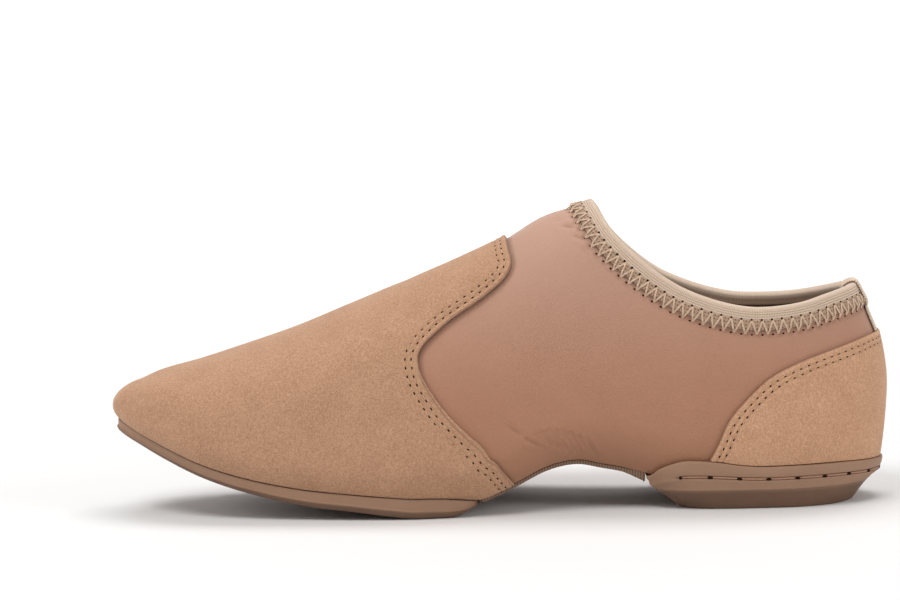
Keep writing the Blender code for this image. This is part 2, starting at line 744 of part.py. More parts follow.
pad_end = PAD_REAR - np.array([0.40, 0.15, 0.04]) * PAD_THICKNESS / LENGTH
pad_at = between(0, PAD_REAR, 0.7 * PAD_THICKNESS / LENGTH)
pad_at = np.sort(np.concatenate([pad_at, pad_end, [FLAT_FRONT, FLAT_REAR]]))
loop, pairs = two_sides(pad_at, pad_edge)
share = loop[:, 0] / LENGTH + 0.5
rear_lift = PAD_THICKNESS * smooth(PAD_UNDER_REAR, "height", share)
tread = TOE_SPRING * smooth(UNDERSIDE, "spring", share) + rear_lift
rings = []
for height, out in PAD_RINGS:
    ring = outset(loop, out * PAD_BEAD)
    ring[:, 2] = tread + (loop[:, 2] - tread) * height
    rings.append(ring)
points, faces = tower(rings, pairs)
add("forefoot_sole", points, faces, RUBBER_COLOUR, 0.6)


# Heel: a tapered lift, a step, a stitch groove and a rim that cups the shell
def rim_height(side, at):
    """Height of the rim's top, which rises from the seat at the heel's front."""
    seat = sole_edge(side, at) - SOLE_GAP
    top = np.maximum(rim_top(along(at, HEEL_SEAT + 0 * at)), seat + 2 * GAP)
    return seat + (top - seat) * np.clip((at - HEEL_FRONT) / HEEL_RIM_RISE, 0, 1)


def rim_place(side, at, out):
    """Point beside the rim's top edge, a distance outside the form."""
    height = rim_height(side, at)
    place = layer(side, at, up_of(side, at, height), out)
    place[..., 2] = height
    return place


def cup_place(side, at, share):
    """Point on the cup's wall: share 0 at the seat and 1 at the rim."""
    height = rim_height(side, at)
    place = layer(side, at, up_of(side, at, height) * share, 1.5 * GAP)
    seat = on_edge(side, place, SOLE_GAP)[..., 2]
    place[..., 2] = seat + (height - seat) * share
    return place


heel_at = between(HEEL_FRONT, 1.0, 0.25 * HEEL_LIP / LENGTH)
rim, pairs = two_sides(heel_at, lambda side, at: rim_place(side, at, GAP + SUEDE + HEEL_LIP))
front_x, back_x = rim[:, 0].min(), rim[:, 0].max()
widest = np.abs(rim[:, 1]).max()
backward = (rim[:, 0] - front_x) / (back_x - front_x)


def tapered(front, back, side):
    ring = rim.copy()
    ring[:, 0] += HEEL_TAPER_FRONT * front * (1 - backward) - HEEL_TAPER_BACK * back * backward**3
    ring[:, 1] *= 1 - HEEL_TAPER_SIDE * side / widest
    return ring


rings = []
for height, *tapers in HEEL_RINGS:
    ring = tapered(*tapers)
    ring[:, 2] = HEEL_LIFT * height
    rings.append(ring)
ring = outset(tapered(*tapers), HEEL_STEP)
ring[:, 2] = HEEL_LIFT + HEEL_STEP / 2
rings.append(ring)
base_z = HEEL_LIFT + HEEL_STEP
groove_z = base_z + (rim[:, 2] - base_z) * 0.45
fade = np.clip((backward - 0.10) / 0.10, 0, 1)
for lift, taper, deep in ((-0.5, 0.10, 0), (-0.3, 0.10, 1), (0.3, 0.06, 1), (0.5, 0.06, 0)):
    ring = outset(tapered(taper, taper, taper), -HEEL_GROOVE_DEPTH * deep * fade)
    ring[:, 2] = groove_z + HEEL_GROOVE_WIDTH * lift
    rings.append(ring)
for out, drop in ((0, HEEL_LIP / 2), (-HEEL_LIP / 2, 0)):
    ring = outset(rim, out)
    ring[:, 2] = rim[:, 2] - drop
    rings.append(ring)
for share in (1, 0.5, 0):
    ring, _ = two_sides(heel_at, lambda side, at: cup_place(side, at, share))
    nose = np.clip(1 - backward / 0.02, 0, 1)
    before = sole_edge(np.sign(ring[:, 1]), at_edge(ring[:, 0]))
    ring[:, 0] += nose * HEEL_LIP * (2 - share)
    ring[:, 2] += sole_edge(np.sign(ring[:, 1]), at_edge(ring[:, 0])) - before
    rings.append(ring)
points, faces = tower(rings, pairs)
add("heel", points, faces, RUBBER_COLOUR, 0.6)

# Strip under the arch, thicker where it meets the heel
strip_front = PAD_REAR + (PAD_BEAD + GAP) / LENGTH
strip_rear = at_edge(front_x - GAP)


def strip_edge(side, at):
    half, _, _, foot, _, _ = section(side, at)
    return on_edge(side, np.stack([along(at, 0 * at), side * half * foot, 0 * at], axis=-1), SOLE_GAP)


strip_at = between(strip_front, strip_rear, 0.5 * STRIP_THICKNESS / LENGTH)
loop, pairs = two_sides(strip_at, strip_edge)
end = np.clip((loop[:, 0] / LENGTH + 0.5 - strip_rear) / 0.035 + 1, 0, 1)
thickness = STRIP_THICKNESS + (STRIP_END_THICKNESS - STRIP_THICKNESS) * end**2 * (3 - 2 * end)
rings = []
for share, out in ((1, -0.5), (0.6, 0), (0, 0)):
    ring = outset(loop, STRIP_THICKNESS * out)
    ring[:, 0] = np.clip(ring[:, 0], loop[:, 0].min(), loop[:, 0].max())
    ring[:, 2] = loop[:, 2] - thickness * share
    rings.append(ring)
points, faces = tower(rings, pairs)
add("arch_strip", points, faces, BINDING_COLOUR, 0.8)


# Insole inside the shell
def insole_edge(side, at):
    place = layer(side, at, 0 * at, -(SHELL_WALL + GAP))
    place[..., 1] *= rounded((at - INSOLE_TOE) / INSOLE_TOE)
    return on_edge(side, place, 0)


insole_at = between(INSOLE_TOE, 1.0, 0.001)
loop, pairs = two_sides(insole_at, insole_edge)
top = loop.copy()
top[:, 2] += INSOLE_THICKNESS
points, faces = tower([loop, top], pairs)
add("insole", points, faces, LINING_COLOUR, 0.8)

# The origin goes to the middle of the shoe's box, on the floor
pieces = list(bpy.context.scene.objects)
corners = np.concatenate([[vertex.co[:] for vertex in piece.data.vertices] for piece in pieces])
middle = (corners.min(axis=0) + corners.max(axis=0)) / 2
for piece in pieces:
    for vertex in piece.data.vertices:
        vertex.co.x -= middle[0]
        vertex.co.y -= middle[1]
        vertex.co.z -= corners[:, 2].min()
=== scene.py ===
# %% [markdown]
# A low jazz shoe for the right foot: a stretch upper, a suede forepart and
# counter, an elastic binding round the collar, and a rubber sole split in two.
# The packed solids give the true size and place of every piece. This lesson
# dresses them: each solid is replaced by a finer piece from the same functions.

# %% The packed solids and their box
import math
from collections import namedtuple

import bmesh
import bpy
import numpy as np
from mathutils import Matrix, Vector


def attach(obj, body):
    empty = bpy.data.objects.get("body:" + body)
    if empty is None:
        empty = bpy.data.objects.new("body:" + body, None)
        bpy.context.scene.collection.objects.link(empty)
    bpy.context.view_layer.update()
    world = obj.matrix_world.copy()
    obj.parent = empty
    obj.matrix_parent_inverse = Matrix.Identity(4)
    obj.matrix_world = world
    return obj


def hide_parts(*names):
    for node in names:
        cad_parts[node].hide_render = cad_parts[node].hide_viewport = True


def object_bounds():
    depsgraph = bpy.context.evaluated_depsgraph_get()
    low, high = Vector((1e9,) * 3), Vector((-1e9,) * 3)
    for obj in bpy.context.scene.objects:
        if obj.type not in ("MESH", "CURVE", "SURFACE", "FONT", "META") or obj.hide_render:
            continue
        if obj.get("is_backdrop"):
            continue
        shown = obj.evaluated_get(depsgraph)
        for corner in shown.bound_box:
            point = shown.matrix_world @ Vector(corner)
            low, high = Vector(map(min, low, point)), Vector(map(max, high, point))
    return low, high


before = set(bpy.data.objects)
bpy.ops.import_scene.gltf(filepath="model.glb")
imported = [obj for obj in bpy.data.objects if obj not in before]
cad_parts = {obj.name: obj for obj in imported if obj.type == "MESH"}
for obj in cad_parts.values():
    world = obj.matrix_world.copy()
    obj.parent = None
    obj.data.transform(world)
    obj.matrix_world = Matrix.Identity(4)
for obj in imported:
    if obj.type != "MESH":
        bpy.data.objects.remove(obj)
solid_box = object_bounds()

print("solids", sorted(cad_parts), "box", [round(x, 4) for corner in solid_box for x in corner])

# %% [markdown]
# A last is the wooden or plastic foot that a shoe is pulled over. Here it is a
# function: a side, a share of the length and a share up the section give a
# point. A sculpted mesh could stand for it too, but a function keeps every
# layer, seam and edge exactly on the same form. Its sizes and tables are those
# of the solids, in metres and shares, so the fine pieces lie where they lie.

# %% Main sizes
LENGTH = 0.2540
BALL_WIDTH = 0.0830
INSTEP_RISE = 0.0927
TOE_SPRING = 0.0265
ARCH_MEDIAL = 0.0168
ARCH_LATERAL = 0.0125
PAD_THICKNESS = 0.0068
HEEL_LIFT = 0.0065
HEEL_TOP = 0.0030
HEEL_SEAT = HEEL_LIFT + HEEL_TOP
GAP = 0.0003
# Where the form's own axis lies in the part's frame
AXIS_X = 0.00015
AXIS_Y = -0.00411
print("length", LENGTH * 1000, "mm, heel seat at", round(HEEL_SEAT * 1000, 1), "mm")

# %% [markdown]
# Between its rows a table is read on a smooth curve. An ordinary spline swings
# past its rows and would leave bumps on the shoe, so here the slope at each row
# is limited, and the curve never overshoots.

# %% Reading a table
def smooth(rows, column, at, flat_ends=False):
    """Value of a table's column at a place, on a curve that doesn't overshoot its rows."""
    places = np.array([row[0] for row in rows], float)
    values = np.array([getattr(row, column) for row in rows], float)
    steps = np.diff(values) / np.diff(places)
    slopes = np.zeros(len(places))
    slopes[1:-1] = np.where(steps[:-1] * steps[1:] > 0, (steps[:-1] + steps[1:]) / 2, 0)
    if not flat_ends:
        slopes[0] = steps[0]
        slopes[-1] = steps[-1]
    for i, step in enumerate(steps):
        most = 3 * abs(step)
        slopes[i] = np.clip(slopes[i], -most, most)
        slopes[i + 1] = np.clip(slopes[i + 1], -most, most)
    at = np.clip(np.asarray(at, float), places[0], places[-1])
    i = np.clip(np.searchsorted(places, at, side="right") - 1, 0, len(places) - 2)
    width = places[i + 1] - places[i]
    t = (at - places[i]) / width
    start = (2 * t**3 - 3 * t**2 + 1) * values[i] + (t**3 - 2 * t**2 + t) * width * slopes[i]
    end = (3 * t**2 - 2 * t**3) * values[i + 1] + (t**3 - t**2) * width * slopes[i + 1]
    return start + end


def rounded(t):
    """Quarter circle from 0 at the tip to 1."""
    t = np.clip(t, 0, 1)
    return np.sqrt(t * (2 - t))


print("a quarter circle half way:", round(float(rounded(0.5)), 3))

# %% [markdown]
# The edge where the upper meets the sole rises at the toe, lies flat under the
# ball, arches over the waist and ends on the heel's seat. Each column of the
# table is the share of one named size, so its height is simply their sum.

# %% The underside along the shoe
FLAT_FRONT = 0.392
FLAT_REAR = 0.430
Under = namedtuple("Under", "at pad spring arch seat")
UNDERSIDE = [Under(*row) for row in (
    (0.000, 0.72, 1.000, 0.00, 0.00),
    (0.030, 0.72, 0.870, 0.00, 0.00),
    (0.060, 0.73, 0.730, 0.00, 0.00),
    (0.110, 0.74, 0.520, 0.00, 0.00),
    (0.170, 0.77, 0.340, 0.00, 0.00),
    (0.240, 0.87, 0.184, 0.00, 0.00),
    (0.310, 0.92, 0.098, 0.00, 0.00),
    (0.350, 0.98, 0.044, 0.00, 0.00),
    (FLAT_FRONT, 1.03, 0.000, 0.00, 0.00),
    (FLAT_REAR, 0.97, 0.000, 0.00, 0.00),
    (0.470, 0.78, 0.000, 0.02, 0.00),
    (0.495, 0.61, 0.000, 0.20, 0.00),
    (0.518, 0.45, 0.000, 0.42, 0.00),
    (0.561, 0.10, 0.000, 0.86, 0.00),
    (0.597, 0.00, 0.000, 1.00, 0.00),
    (0.621, 0.00, 0.000, 0.93, 0.02),
    (0.651, 0.00, 0.000, 0.70, 0.27),
    (0.681, 0.00, 0.000, 0.44, 0.54),
    (0.720, 0.00, 0.000, 0.12, 0.82),
    (0.780, 0.00, 0.000, 0.00, 1.00),
    (1.000, 0.00, 0.000, 0.00, 1.00),
)]
print("table of the underside:", len(UNDERSIDE), "rows")

# %% Height of the sole's edge
def sole_edge(side, at):
    """Height of the edge where the form meets the sole."""
    arch = np.where(np.asarray(side) < 0, ARCH_MEDIAL, ARCH_LATERAL)
    pad = PAD_THICKNESS * smooth(UNDERSIDE, "pad", at)
    spring = TOE_SPRING * smooth(UNDERSIDE, "spring", at)
    seat = HEEL_SEAT * smooth(UNDERSIDE, "seat", at)
    return pad + spring + arch * smooth(UNDERSIDE, "arch", at) + seat


def height_of(share):
    """Height of a share of the instep, measured from the top of the pad."""
    return PAD_THICKNESS + INSTEP_RISE * np.asarray(share, float)


print("arch, inner side:", round(float(sole_edge(-1, 0.597)) * 1000, 1), "mm above the floor")

# %% [markdown]
# Seen from above a shoe is not symmetric: the inner side is straighter and the
# outer side fuller. The table has a half width for each side, the height of the
# ridge, how far the section tucks in at its foot, how high its widest line lies
# and how square it is. Drawn outlines would do too, but would need fitting.

# %% Plan and ridge along the shoe
Section = namedtuple("Section", "at medial lateral ridge foot bulge full")
SECTIONS = [Section(*row) for row in (
    (0.000, 0.290, 0.290, 0.0755, 0.80, 0.045, 2.10),
    (0.030, 0.305, 0.315, 0.1288, 0.82, 0.050, 2.12),
    (0.060, 0.322, 0.342, 0.2023, 0.84, 0.060, 2.15),
    (0.110, 0.352, 0.385, 0.2980, 0.86, 0.075, 2.15),
    (0.170, 0.387, 0.434, 0.4000, 0.88, 0.090, 2.12),
    (0.240, 0.420, 0.484, 0.5080, 0.89, 0.100, 2.08),
    (0.310, 0.443, 0.528, 0.6090, 0.90, 0.110, 2.05),
    (0.380, 0.450, 0.550, 0.7110, 0.88, 0.118, 2.03),
    (0.450, 0.428, 0.540, 0.7930, 0.83, 0.130, 2.03),
    (0.510, 0.392, 0.510, 0.8690, 0.77, 0.150, 2.05),
    (0.560, 0.360, 0.478, 0.9500, 0.735, 0.165, 2.08),
    (0.624, 0.340, 0.445, 1.0000, 0.73, 0.175, 2.10),
    (0.660, 0.335, 0.428, 1.0360, 0.75, 0.180, 2.12),
    (0.700, 0.338, 0.412, 1.0740, 0.79, 0.180, 2.18),
    (0.750, 0.345, 0.398, 1.1220, 0.83, 0.180, 2.24),
    (0.820, 0.352, 0.385, 1.1780, 0.86, 0.180, 2.32),
    (0.900, 0.350, 0.368, 1.2050, 0.87, 0.185, 2.40),
    (1.000, 0.335, 0.335, 1.2100, 0.88, 0.190, 2.50),
)]
print("table of sections:", len(SECTIONS), "rows")

# %% The section at a place
TOE_ROUND = 0.160
TOE_TOP_ROUND = 0.030
TOE_UNDER_ROUND = 0.016
TOE_TURN = 0.010
TOE_FOOT_ROUND = 0.030
TOE_NOSE = 0.42
HEEL_ROUND = 0.170


def section(side, at):
    """Half width, lowest and highest height, foot width, height of the widest and squareness."""
    inner = smooth(SECTIONS, "medial", at)
    outer = smooth(SECTIONS, "lateral", at)
    half = BALL_WIDTH * np.where(np.asarray(side) < 0, inner, outer)
    half = half * rounded(at / TOE_ROUND) * rounded((1 - at) / HEEL_ROUND)
    edge = sole_edge(side, at)
    ridge = height_of(smooth(SECTIONS, "ridge", at)) + TOE_SPRING * smooth(UNDERSIDE, "spring", at)
    nose = edge + TOE_NOSE * (ridge - edge)
    low = nose - (nose - edge) * rounded(at / TOE_UNDER_ROUND)
    high = nose + (ridge - nose) * rounded(at / TOE_TOP_ROUND)
    foot = smooth(SECTIONS, "foot", at) * rounded((at - TOE_TURN) / TOE_FOOT_ROUND)
    bulge = np.minimum(INSTEP_RISE * smooth(SECTIONS, "bulge", at), 0.45 * (high - low))
    return half, low, high, foot, bulge, smooth(SECTIONS, "full", at)


print("half width at the ball:", round(float(section(1, np.array(0.38))[0]) * 1000, 1), "mm")

# %% [markdown]
# The back of the shoe is an S curve: it bulges round the heel bone and leans
# forwards at the top, to grip above it. Moving points by hand would spoil the
# sections, so the lean is a table of shifts by height, eased in over the rear.

# %% The curve of the back
LEAN_START = 0.60
LEAN_EASE = 0.15
END = 0.30
Back = namedtuple("Back", "height shift")
BACK = [Back(*row) for row in (
    (0.030, -0.0126),
    (0.105, -0.0079),
    (0.180, -0.0043),
    (0.270, -0.0012),
    (0.347, 0.0000),
    (0.408, -0.0016),
    (0.516, -0.0090),
    (0.578, -0.0178),
    (0.631, -0.0256),
    (0.671, -0.0330),
    (0.714, -0.0408),
)]


def eased(t, end=END):
    """Curve that starts level at 0 and is nearly straight further on to 1."""
    return t**2 * (1 + end) / (t + end)


def along(at, height):
    """Place along X of a share of the length at a height, with the lean of the back."""
    lean = eased(np.clip((at - LEAN_START) / (1 - LEAN_START), 0, 1), LEAN_EASE)
    share = (height - PAD_THICKNESS) / INSTEP_RISE
    return LENGTH * (at - 0.5 + lean * smooth(BACK, "shift", share))


def at_edge(x):
    """Share of the length whose sole edge lies at a place along X."""
    share = np.clip(x / LENGTH + 0.5, 0, 1)
    lean = eased(np.clip((share - LEAN_START) / (1 - LEAN_START), 0, 1), LEAN_EASE)
    low = (HEEL_SEAT - PAD_THICKNESS) / INSTEP_RISE
    return np.clip(share - lean * smooth(BACK, "shift", low), 0, 1)


print("back at the widest:", round(float(along(np.array(1.0), 0.04)) * 1000, 1), "mm from the middle")

# %% [markdown]
# Now the last itself. Its section is a squared half ellipse above the widest
# line and a tucked-in curve below it. Loops drawn one by one would need many
# sketches, while one formula gives every section and blends them by itself.

# %% The last as a function
WIDEST = 0.25


def form(side, at, up):
    """Point of the form: side -1 medial or 1 lateral, at 0 toe to 1 heel, up 0 sole to 1 ridge."""
    half, low, high, foot, bulge, full = section(side, at)
    below = np.clip(up / WIDEST, 0, 1)
    turn = np.clip((up - WIDEST) / (1 - WIDEST), 0, 1) * math.pi / 2
    z_below = low + bulge * below
    y_below = half * (1 - (1 - foot) * (1 - below) ** 2)
    z_above = low + bulge + (high - low - bulge) * np.sin(turn) ** (2 / full)
    y_above = half * np.maximum(np.cos(turn), 0) ** (2 / full)
    z = np.where(up < WIDEST, z_below, z_above)
    y = np.where(up < WIDEST, y_below, y_above)
    return np.stack([along(at, z), side * y, z], axis=-1)


def up_of(side, at, height):
    """How far up the section a height lies."""
    half, low, high, foot, bulge, full = section(side, at)
    below = WIDEST * (height - low) / bulge
    share = np.clip((height - low - bulge) / (high - low - bulge), 0, 1)
    above = WIDEST + (1 - WIDEST) * np.arcsin(share ** (full / 2)) * 2 / math.pi
    return np.clip(np.where(height < low + bulge, below, above), 0, 1)


print("throat at", (form(-1.0, np.array(0.618), np.array(1.0)) * 1000).round(1), "mm")

# %% [markdown]
# A layer of leather or cloth lies outside the last, along its normals. A
# Solidify modifier takes them from the mesh; small steps of the function give
# them however coarse the mesh is. The length parameter v is eased at both ends,
# because there the round toe and heel make the plain share of the length jump.

# %% Directions on the last
def at_of(v):
    """Share of the length for a parameter in which both round ends are smooth."""
    return 1 - eased(1 - eased(v))


def v_of(at):
    """Inverse of at_of."""
    def back(share):
        half = share / (2 * (1 + END))
        return half + np.sqrt(half**2 + 2 * half * END)
    return back(1 - back(1 - np.asarray(at, float)))


def slopes_of(side, v, up):
    """The form's derivatives along its length parameter and up its section."""
    step = 0.0015
    v = np.clip(v, 0.004, 1)
    v1, v2 = np.clip(v - step, 0, 1), np.clip(v + step, 0, 1)
    u1, u2 = np.clip(up - step, 0, 1), np.clip(up + step, 0, 1)
    lengthways = (form(side, at_of(v2), up) - form(side, at_of(v1), up)) / (v2 - v1)[..., None]
    upwards = (form(side, at_of(v), u2) - form(side, at_of(v), u1)) / (u2 - u1)[..., None]
    return lengthways, upwards


def unit(vectors):
    return vectors / np.maximum(np.linalg.norm(vectors, axis=-1, keepdims=True), 1e-12)


def normals(side, at, up):
    """Outward normals of the form."""
    side, at, up = np.broadcast_arrays(np.asarray(side, float), at, up)
    lengthways, upwards = slopes_of(side, v_of(at), up)
    return unit(np.cross(upwards, lengthways) * side[..., None])


def layer(side, at, up, out):
    """Point of the form moved outwards."""
    side, at, up, out = np.broadcast_arrays(np.asarray(side, float), at, up, out)
    return form(side, at, up) + normals(side, at, up) * out[..., None]


print("out of the side:", normals(-1.0, np.array(0.5), np.array(0.25)).round(2))

# %% [markdown]
# A stitcher's guide runs along an edge at an even distance. Measured straight
# through the air that distance would come out short on a bent surface. Walking
# goes over the surface in a heading, in small steps that turn with it.

# %% Walking over the last
def walk(side, at, up, heading, distance, steps=8):
    """Place on the form after walking over it a distance in a heading."""
    v = v_of(at)
    for _ in range(steps):
        lengthways, upwards = slopes_of(side, v, up)
        facing = unit(np.cross(upwards, lengthways))
        heading = unit(heading - facing * np.sum(heading * facing, axis=-1, keepdims=True))
        aa = np.sum(lengthways * lengthways, axis=-1)
        bb = np.sum(upwards * upwards, axis=-1)
        ab = np.sum(lengthways * upwards, axis=-1)
        ah = np.sum(lengthways * heading, axis=-1)
        bh = np.sum(upwards * heading, axis=-1)
        base = aa * bb - ab * ab
        v = np.clip(v + (ah * bb - bh * ab) / base * distance / steps, 0, 1)
        up = np.clip(up + (bh * aa - ah * ab) / base * distance / steps, 0, 1)
    return at_of(v), up


walked = walk(-1.0, np.array([0.7]), np.array([0.5]), np.array([[0, 0, 1.0]]), np.array([0.01]))
print("10 mm up from the middle of the side:", [round(float(x[0]), 3) for x in walked])

# %% [markdown]
# Three lines are drawn on the last, as a pattern cutter would draw them: the
# collar, the rear edge of the suede forepart and the top edge of the counter.
# Booleans could cut along them, but a grid that ends on its line has a cleaner
# edge. Each is a table of a run from 0 to 1 and a place on the last.

# %% The collar line
Collar = namedtuple("Collar", "run at medial lateral")
COLLAR = [Collar(*row) for row in (
    (0.000, 0.6240, 1.000, 1.000),
    (0.100, 0.6310, 0.975, 0.971),
    (0.203, 0.6530, 0.890, 0.874),
    (0.356, 0.7120, 0.760, 0.738),
    (0.462, 0.7620, 0.688, 0.672),
    (0.568, 0.8155, 0.644, 0.630),
    (0.639, 0.8520, 0.634, 0.622),
    (0.744, 0.9080, 0.645, 0.630),
    (0.842, 0.9530, 0.669, 0.653),
    (1.000, 1.0000, 0.690, 0.690),
)]


def collar_place(side, run):
    """Where the collar's edge lies on the form."""
    at = smooth(COLLAR, "at", run, flat_ends=True)
    inner = smooth(COLLAR, "medial", run, flat_ends=True)
    outer = smooth(COLLAR, "lateral", run, flat_ends=True)
    return at, up_of(side, at, height_of(np.where(np.asarray(side) < 0, inner, outer)))


print("collar at the back:", [round(float(x), 3) for x in collar_place(-1, np.array(1.0))])

# %% Rear edge of the suede forepart
Edge = namedtuple("Edge", "run at up")
VAMP_EDGE = [Edge(*row) for row in (
    (0.000, 0.513, 0.000),
    (0.068, 0.498, 0.128),
    (0.120, 0.487, 0.217),
    (0.148, 0.476, 0.264),
    (0.205, 0.455, 0.309),
    (0.275, 0.429, 0.369),
    (0.335, 0.411, 0.431),
    (0.395, 0.398, 0.497),
    (0.435, 0.395, 0.550),
    (0.470, 0.401, 0.585),
    (0.510, 0.415, 0.614),
    (0.578, 0.441, 0.651),
    (0.642, 0.469, 0.675),
    (0.716, 0.498, 0.700),
    (0.760, 0.512, 0.722),
    (0.815, 0.518, 0.768),
    (0.885, 0.515, 0.846),
    (1.000, 0.513, 1.000),
)]


def vamp_place(side, run):
    """Where the rear edge of the suede forepart lies."""
    return smooth(VAMP_EDGE, "at", run), smooth(VAMP_EDGE, "up", run)


reach = [row.at for row in VAMP_EDGE]
print("the edge swings from", min(reach), "to", max(reach))

# %% Top edge of the counter
Counter = namedtuple("Counter", "run at height")
COUNTER_EDGE = [Counter(*row) for row in (
    (0.000, 0.768, 0.095), (0.076, 0.780, 0.162), (0.178, 0.794, 0.249),
    (0.272, 0.814, 0.317), (0.395, 0.846, 0.396), (0.519, 0.886, 0.447),
    (0.695, 0.942, 0.491), (0.836, 0.980, 0.515), (1.000, 1.000, 0.523),
)]


def counter_place(side, run):
    """Where the top edge of the counter lies."""
    at = smooth(COUNTER_EDGE, "at", run)
    return at, up_of(side, at, height_of(smooth(COUNTER_EDGE, "height", run)))


print("counter at the back:", [round(float(x), 3) for x in counter_place(-1, np.array(1.0))])

# %% A line inside an edge
def inset(place, side, run, depth, out, inwards):
    """Points and normals at a depth inside an edge, measured over the surface."""
    side, run, depth, out = np.broadcast_arrays(np.asarray(side, float), run, depth, out)
    step = 0.004
    at, up = place(side, run)
    before = form(side, *place(side, np.clip(run - step, 0, 1)))
    after = form(side, *place(side, np.clip(run + step, 0, 1)))
    facing = normals(side, at, up)
    ends = (run > 1 - 1e-6) | ((run < 1e-6) & (place is collar_place))
    facing[ends, 1] = 0
    course = unit(after - before)
    course[ends] = np.stack([0 * side, -side * np.sign(run - 0.5), 0 * side], axis=-1)[ends]
    heading = unit(np.cross(course, facing)) * -side[..., None] * inwards
    over = np.minimum(depth, 0)[..., None] * heading
    at, up = walk(side, at, up, heading, np.maximum(depth, 0))
    facing = normals(side, at, up)
    facing[ends, 1] = 0
    facing = unit(facing)
    return form(side, at, up) + over + facing * out[..., None], facing


edge_check = inset(collar_place, -1.0, np.array([0.5]), 0.0067, 0.0, 1)[0]
print("6.7 mm below the collar:", (edge_check * 1000).round(1))

# %% [markdown]
# Meshes are made from arrays. A sheet lies on the last as a grid of places with
# a thickness, its two sides sewn together where they share the toe, the ridge
# and the back seam. Each piece rides on the frame's only body, root, and names
# the solid that it stands for.

# %% A piece from arrays
def without_repeats(face):
    return [a for k, a in enumerate(face) if a != face[k - 1]]


def piece(name, points, faces, slot, stands_for=None, marks=None, flip=True):
    """A shown piece in the part's frame, with float marks on its points for the materials."""
    points = np.asarray(points, float) + np.array([AXIS_X, AXIS_Y, 0])
    mesh = bpy.data.meshes.new(name)
    mesh.from_pydata(points.tolist(), [], faces)
    mesh.update()
    if flip:
        shape = bmesh.new()
        shape.from_mesh(mesh)
        bmesh.ops.recalc_face_normals(shape, faces=shape.faces)
        if shape.calc_volume(signed=True) < 0:
            bmesh.ops.reverse_faces(shape, faces=shape.faces)
        shape.to_mesh(mesh)
        shape.free()
    for mark, values in (marks or {}).items():
        layer_of = mesh.attributes.new(mark, "FLOAT", "POINT")
        layer_of.data.foreach_set("value", np.asarray(values, np.float32).ravel())
    for face in mesh.polygons:
        face.use_smooth = True
    made = bpy.data.objects.new(name, mesh)
    bpy.context.scene.collection.objects.link(made)
    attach(made, "root")
    if stands_for:
        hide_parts(stands_for)
    triangles = sum(len(face.vertices) - 2 for face in mesh.polygons)
    print(name, "points", len(mesh.vertices), "triangles", triangles)
    return made


def grid_faces(ids, turned=False):
    """Quads over a grid of point numbers."""
    a, b, c, d = ids[:-1, :-1], ids[1:, :-1], ids[1:, 1:], ids[:-1, 1:]
    quads = np.stack([a, d, c, b] if turned else [a, b, c, d], axis=-1)
    return quads.reshape(-1, 4).tolist()


print("faces of a 3 by 2 grid:", grid_faces(np.arange(6).reshape(3, 2)))

# %% A sheet over the last
def surface(patches, out):
    """Points and faces of one side of a sheet, its distance from the form as a function."""
    places = [np.broadcast_arrays(np.asarray(side, float), at, up) for side, at, up in patches]
    base = np.concatenate([form(*place).reshape(-1, 3) for place in places])
    facing = np.concatenate([normals(*place).reshape(-1, 3) for place in places])
    _, first, same = np.unique(np.round(base * 1e6), axis=0, return_index=True, return_inverse=True)
    same = same.reshape(-1)
    mean = np.zeros((len(first), 3))
    np.add.at(mean, same, facing)
    base = base[first]
    faces = []
    start = 0
    for side, at, up in places:
        ids = same[start:start + at.size].reshape(at.shape)
        start += at.size
        faces += grid_faces(ids, side.flat[0] > 0)
    faces = [whole for whole in map(without_repeats, faces) if len(whole) > 2]
    return base, base + unit(mean) * np.reshape(out(base), (-1, 1)), faces


def open_edges(faces):
    seen = {(a, b) for face in faces for a, b in zip(face, face[1:] + face[:1])}
    return [(a, b) for a, b in seen if (b, a) not in seen]


print("open edges of one square:", len(open_edges([[0, 1, 2, 3]])))

# %% Threads as tubes
def tube_faces(ids):
    """Quads between the rings of many tubes, numbered (tubes, rings, points)."""
    nxt = np.roll(ids, -1, axis=2)
    quads = np.stack([ids[:, :-1], nxt[:, :-1], nxt[:, 1:], ids[:, 1:]], axis=-1)
    return quads.reshape(-1, 4).tolist()


def tubes(paths, facing, radius, around=6):
    """Points and faces of many threads at once: paths and facing are (threads, points, 3)."""
    course = unit(np.gradient(paths, axis=1))
    aside = unit(np.cross(course, facing))
    over = np.cross(aside, course)
    turn = np.arange(around) * 2 * math.pi / around
    radius = np.broadcast_to(radius, paths.shape[:2])[..., None, None]
    ring = np.cos(turn)[:, None] * aside[:, :, None, :] + np.sin(turn)[:, None] * over[:, :, None, :]
    points = paths[:, :, None, :] + radius * ring
    ids = np.arange(points[..., 0].size).reshape(points.shape[:3])
    caps = np.concatenate([ids[:, 0, ::-1], ids[:, -1]])
    return points.reshape(-1, 3), tube_faces(ids) + caps.tolist()


def arc(points):
    """Distance run along a line at each of its points."""
    return np.concatenate([[0], np.cumsum(np.linalg.norm(np.diff(points, axis=0), axis=1))])


print("length of a bent line:", arc(np.array([[0.0, 0, 0], [3, 0, 0], [3, 4, 0]])))

# %% Distances to a line
def nearest(points, line, reach):
    """Distance from each point to a line of points, and how far along it the nearest one is."""
    run = arc(line)
    distance = np.full(len(points), reach)
    place = np.zeros(len(points))
    close = np.flatnonzero(np.all((points > line.min(0) - reach) & (points < line.max(0) + reach), axis=1))
    for part in np.array_split(close, max(1, len(close) // 2000)):
        gaps = np.linalg.norm(points[part][:, None] - line[None], axis=2)
        best = gaps.argmin(axis=1)
        distance[part] = np.minimum(gaps[np.arange(len(part)), best], reach)
        place[part] = run[best]
    return distance, place


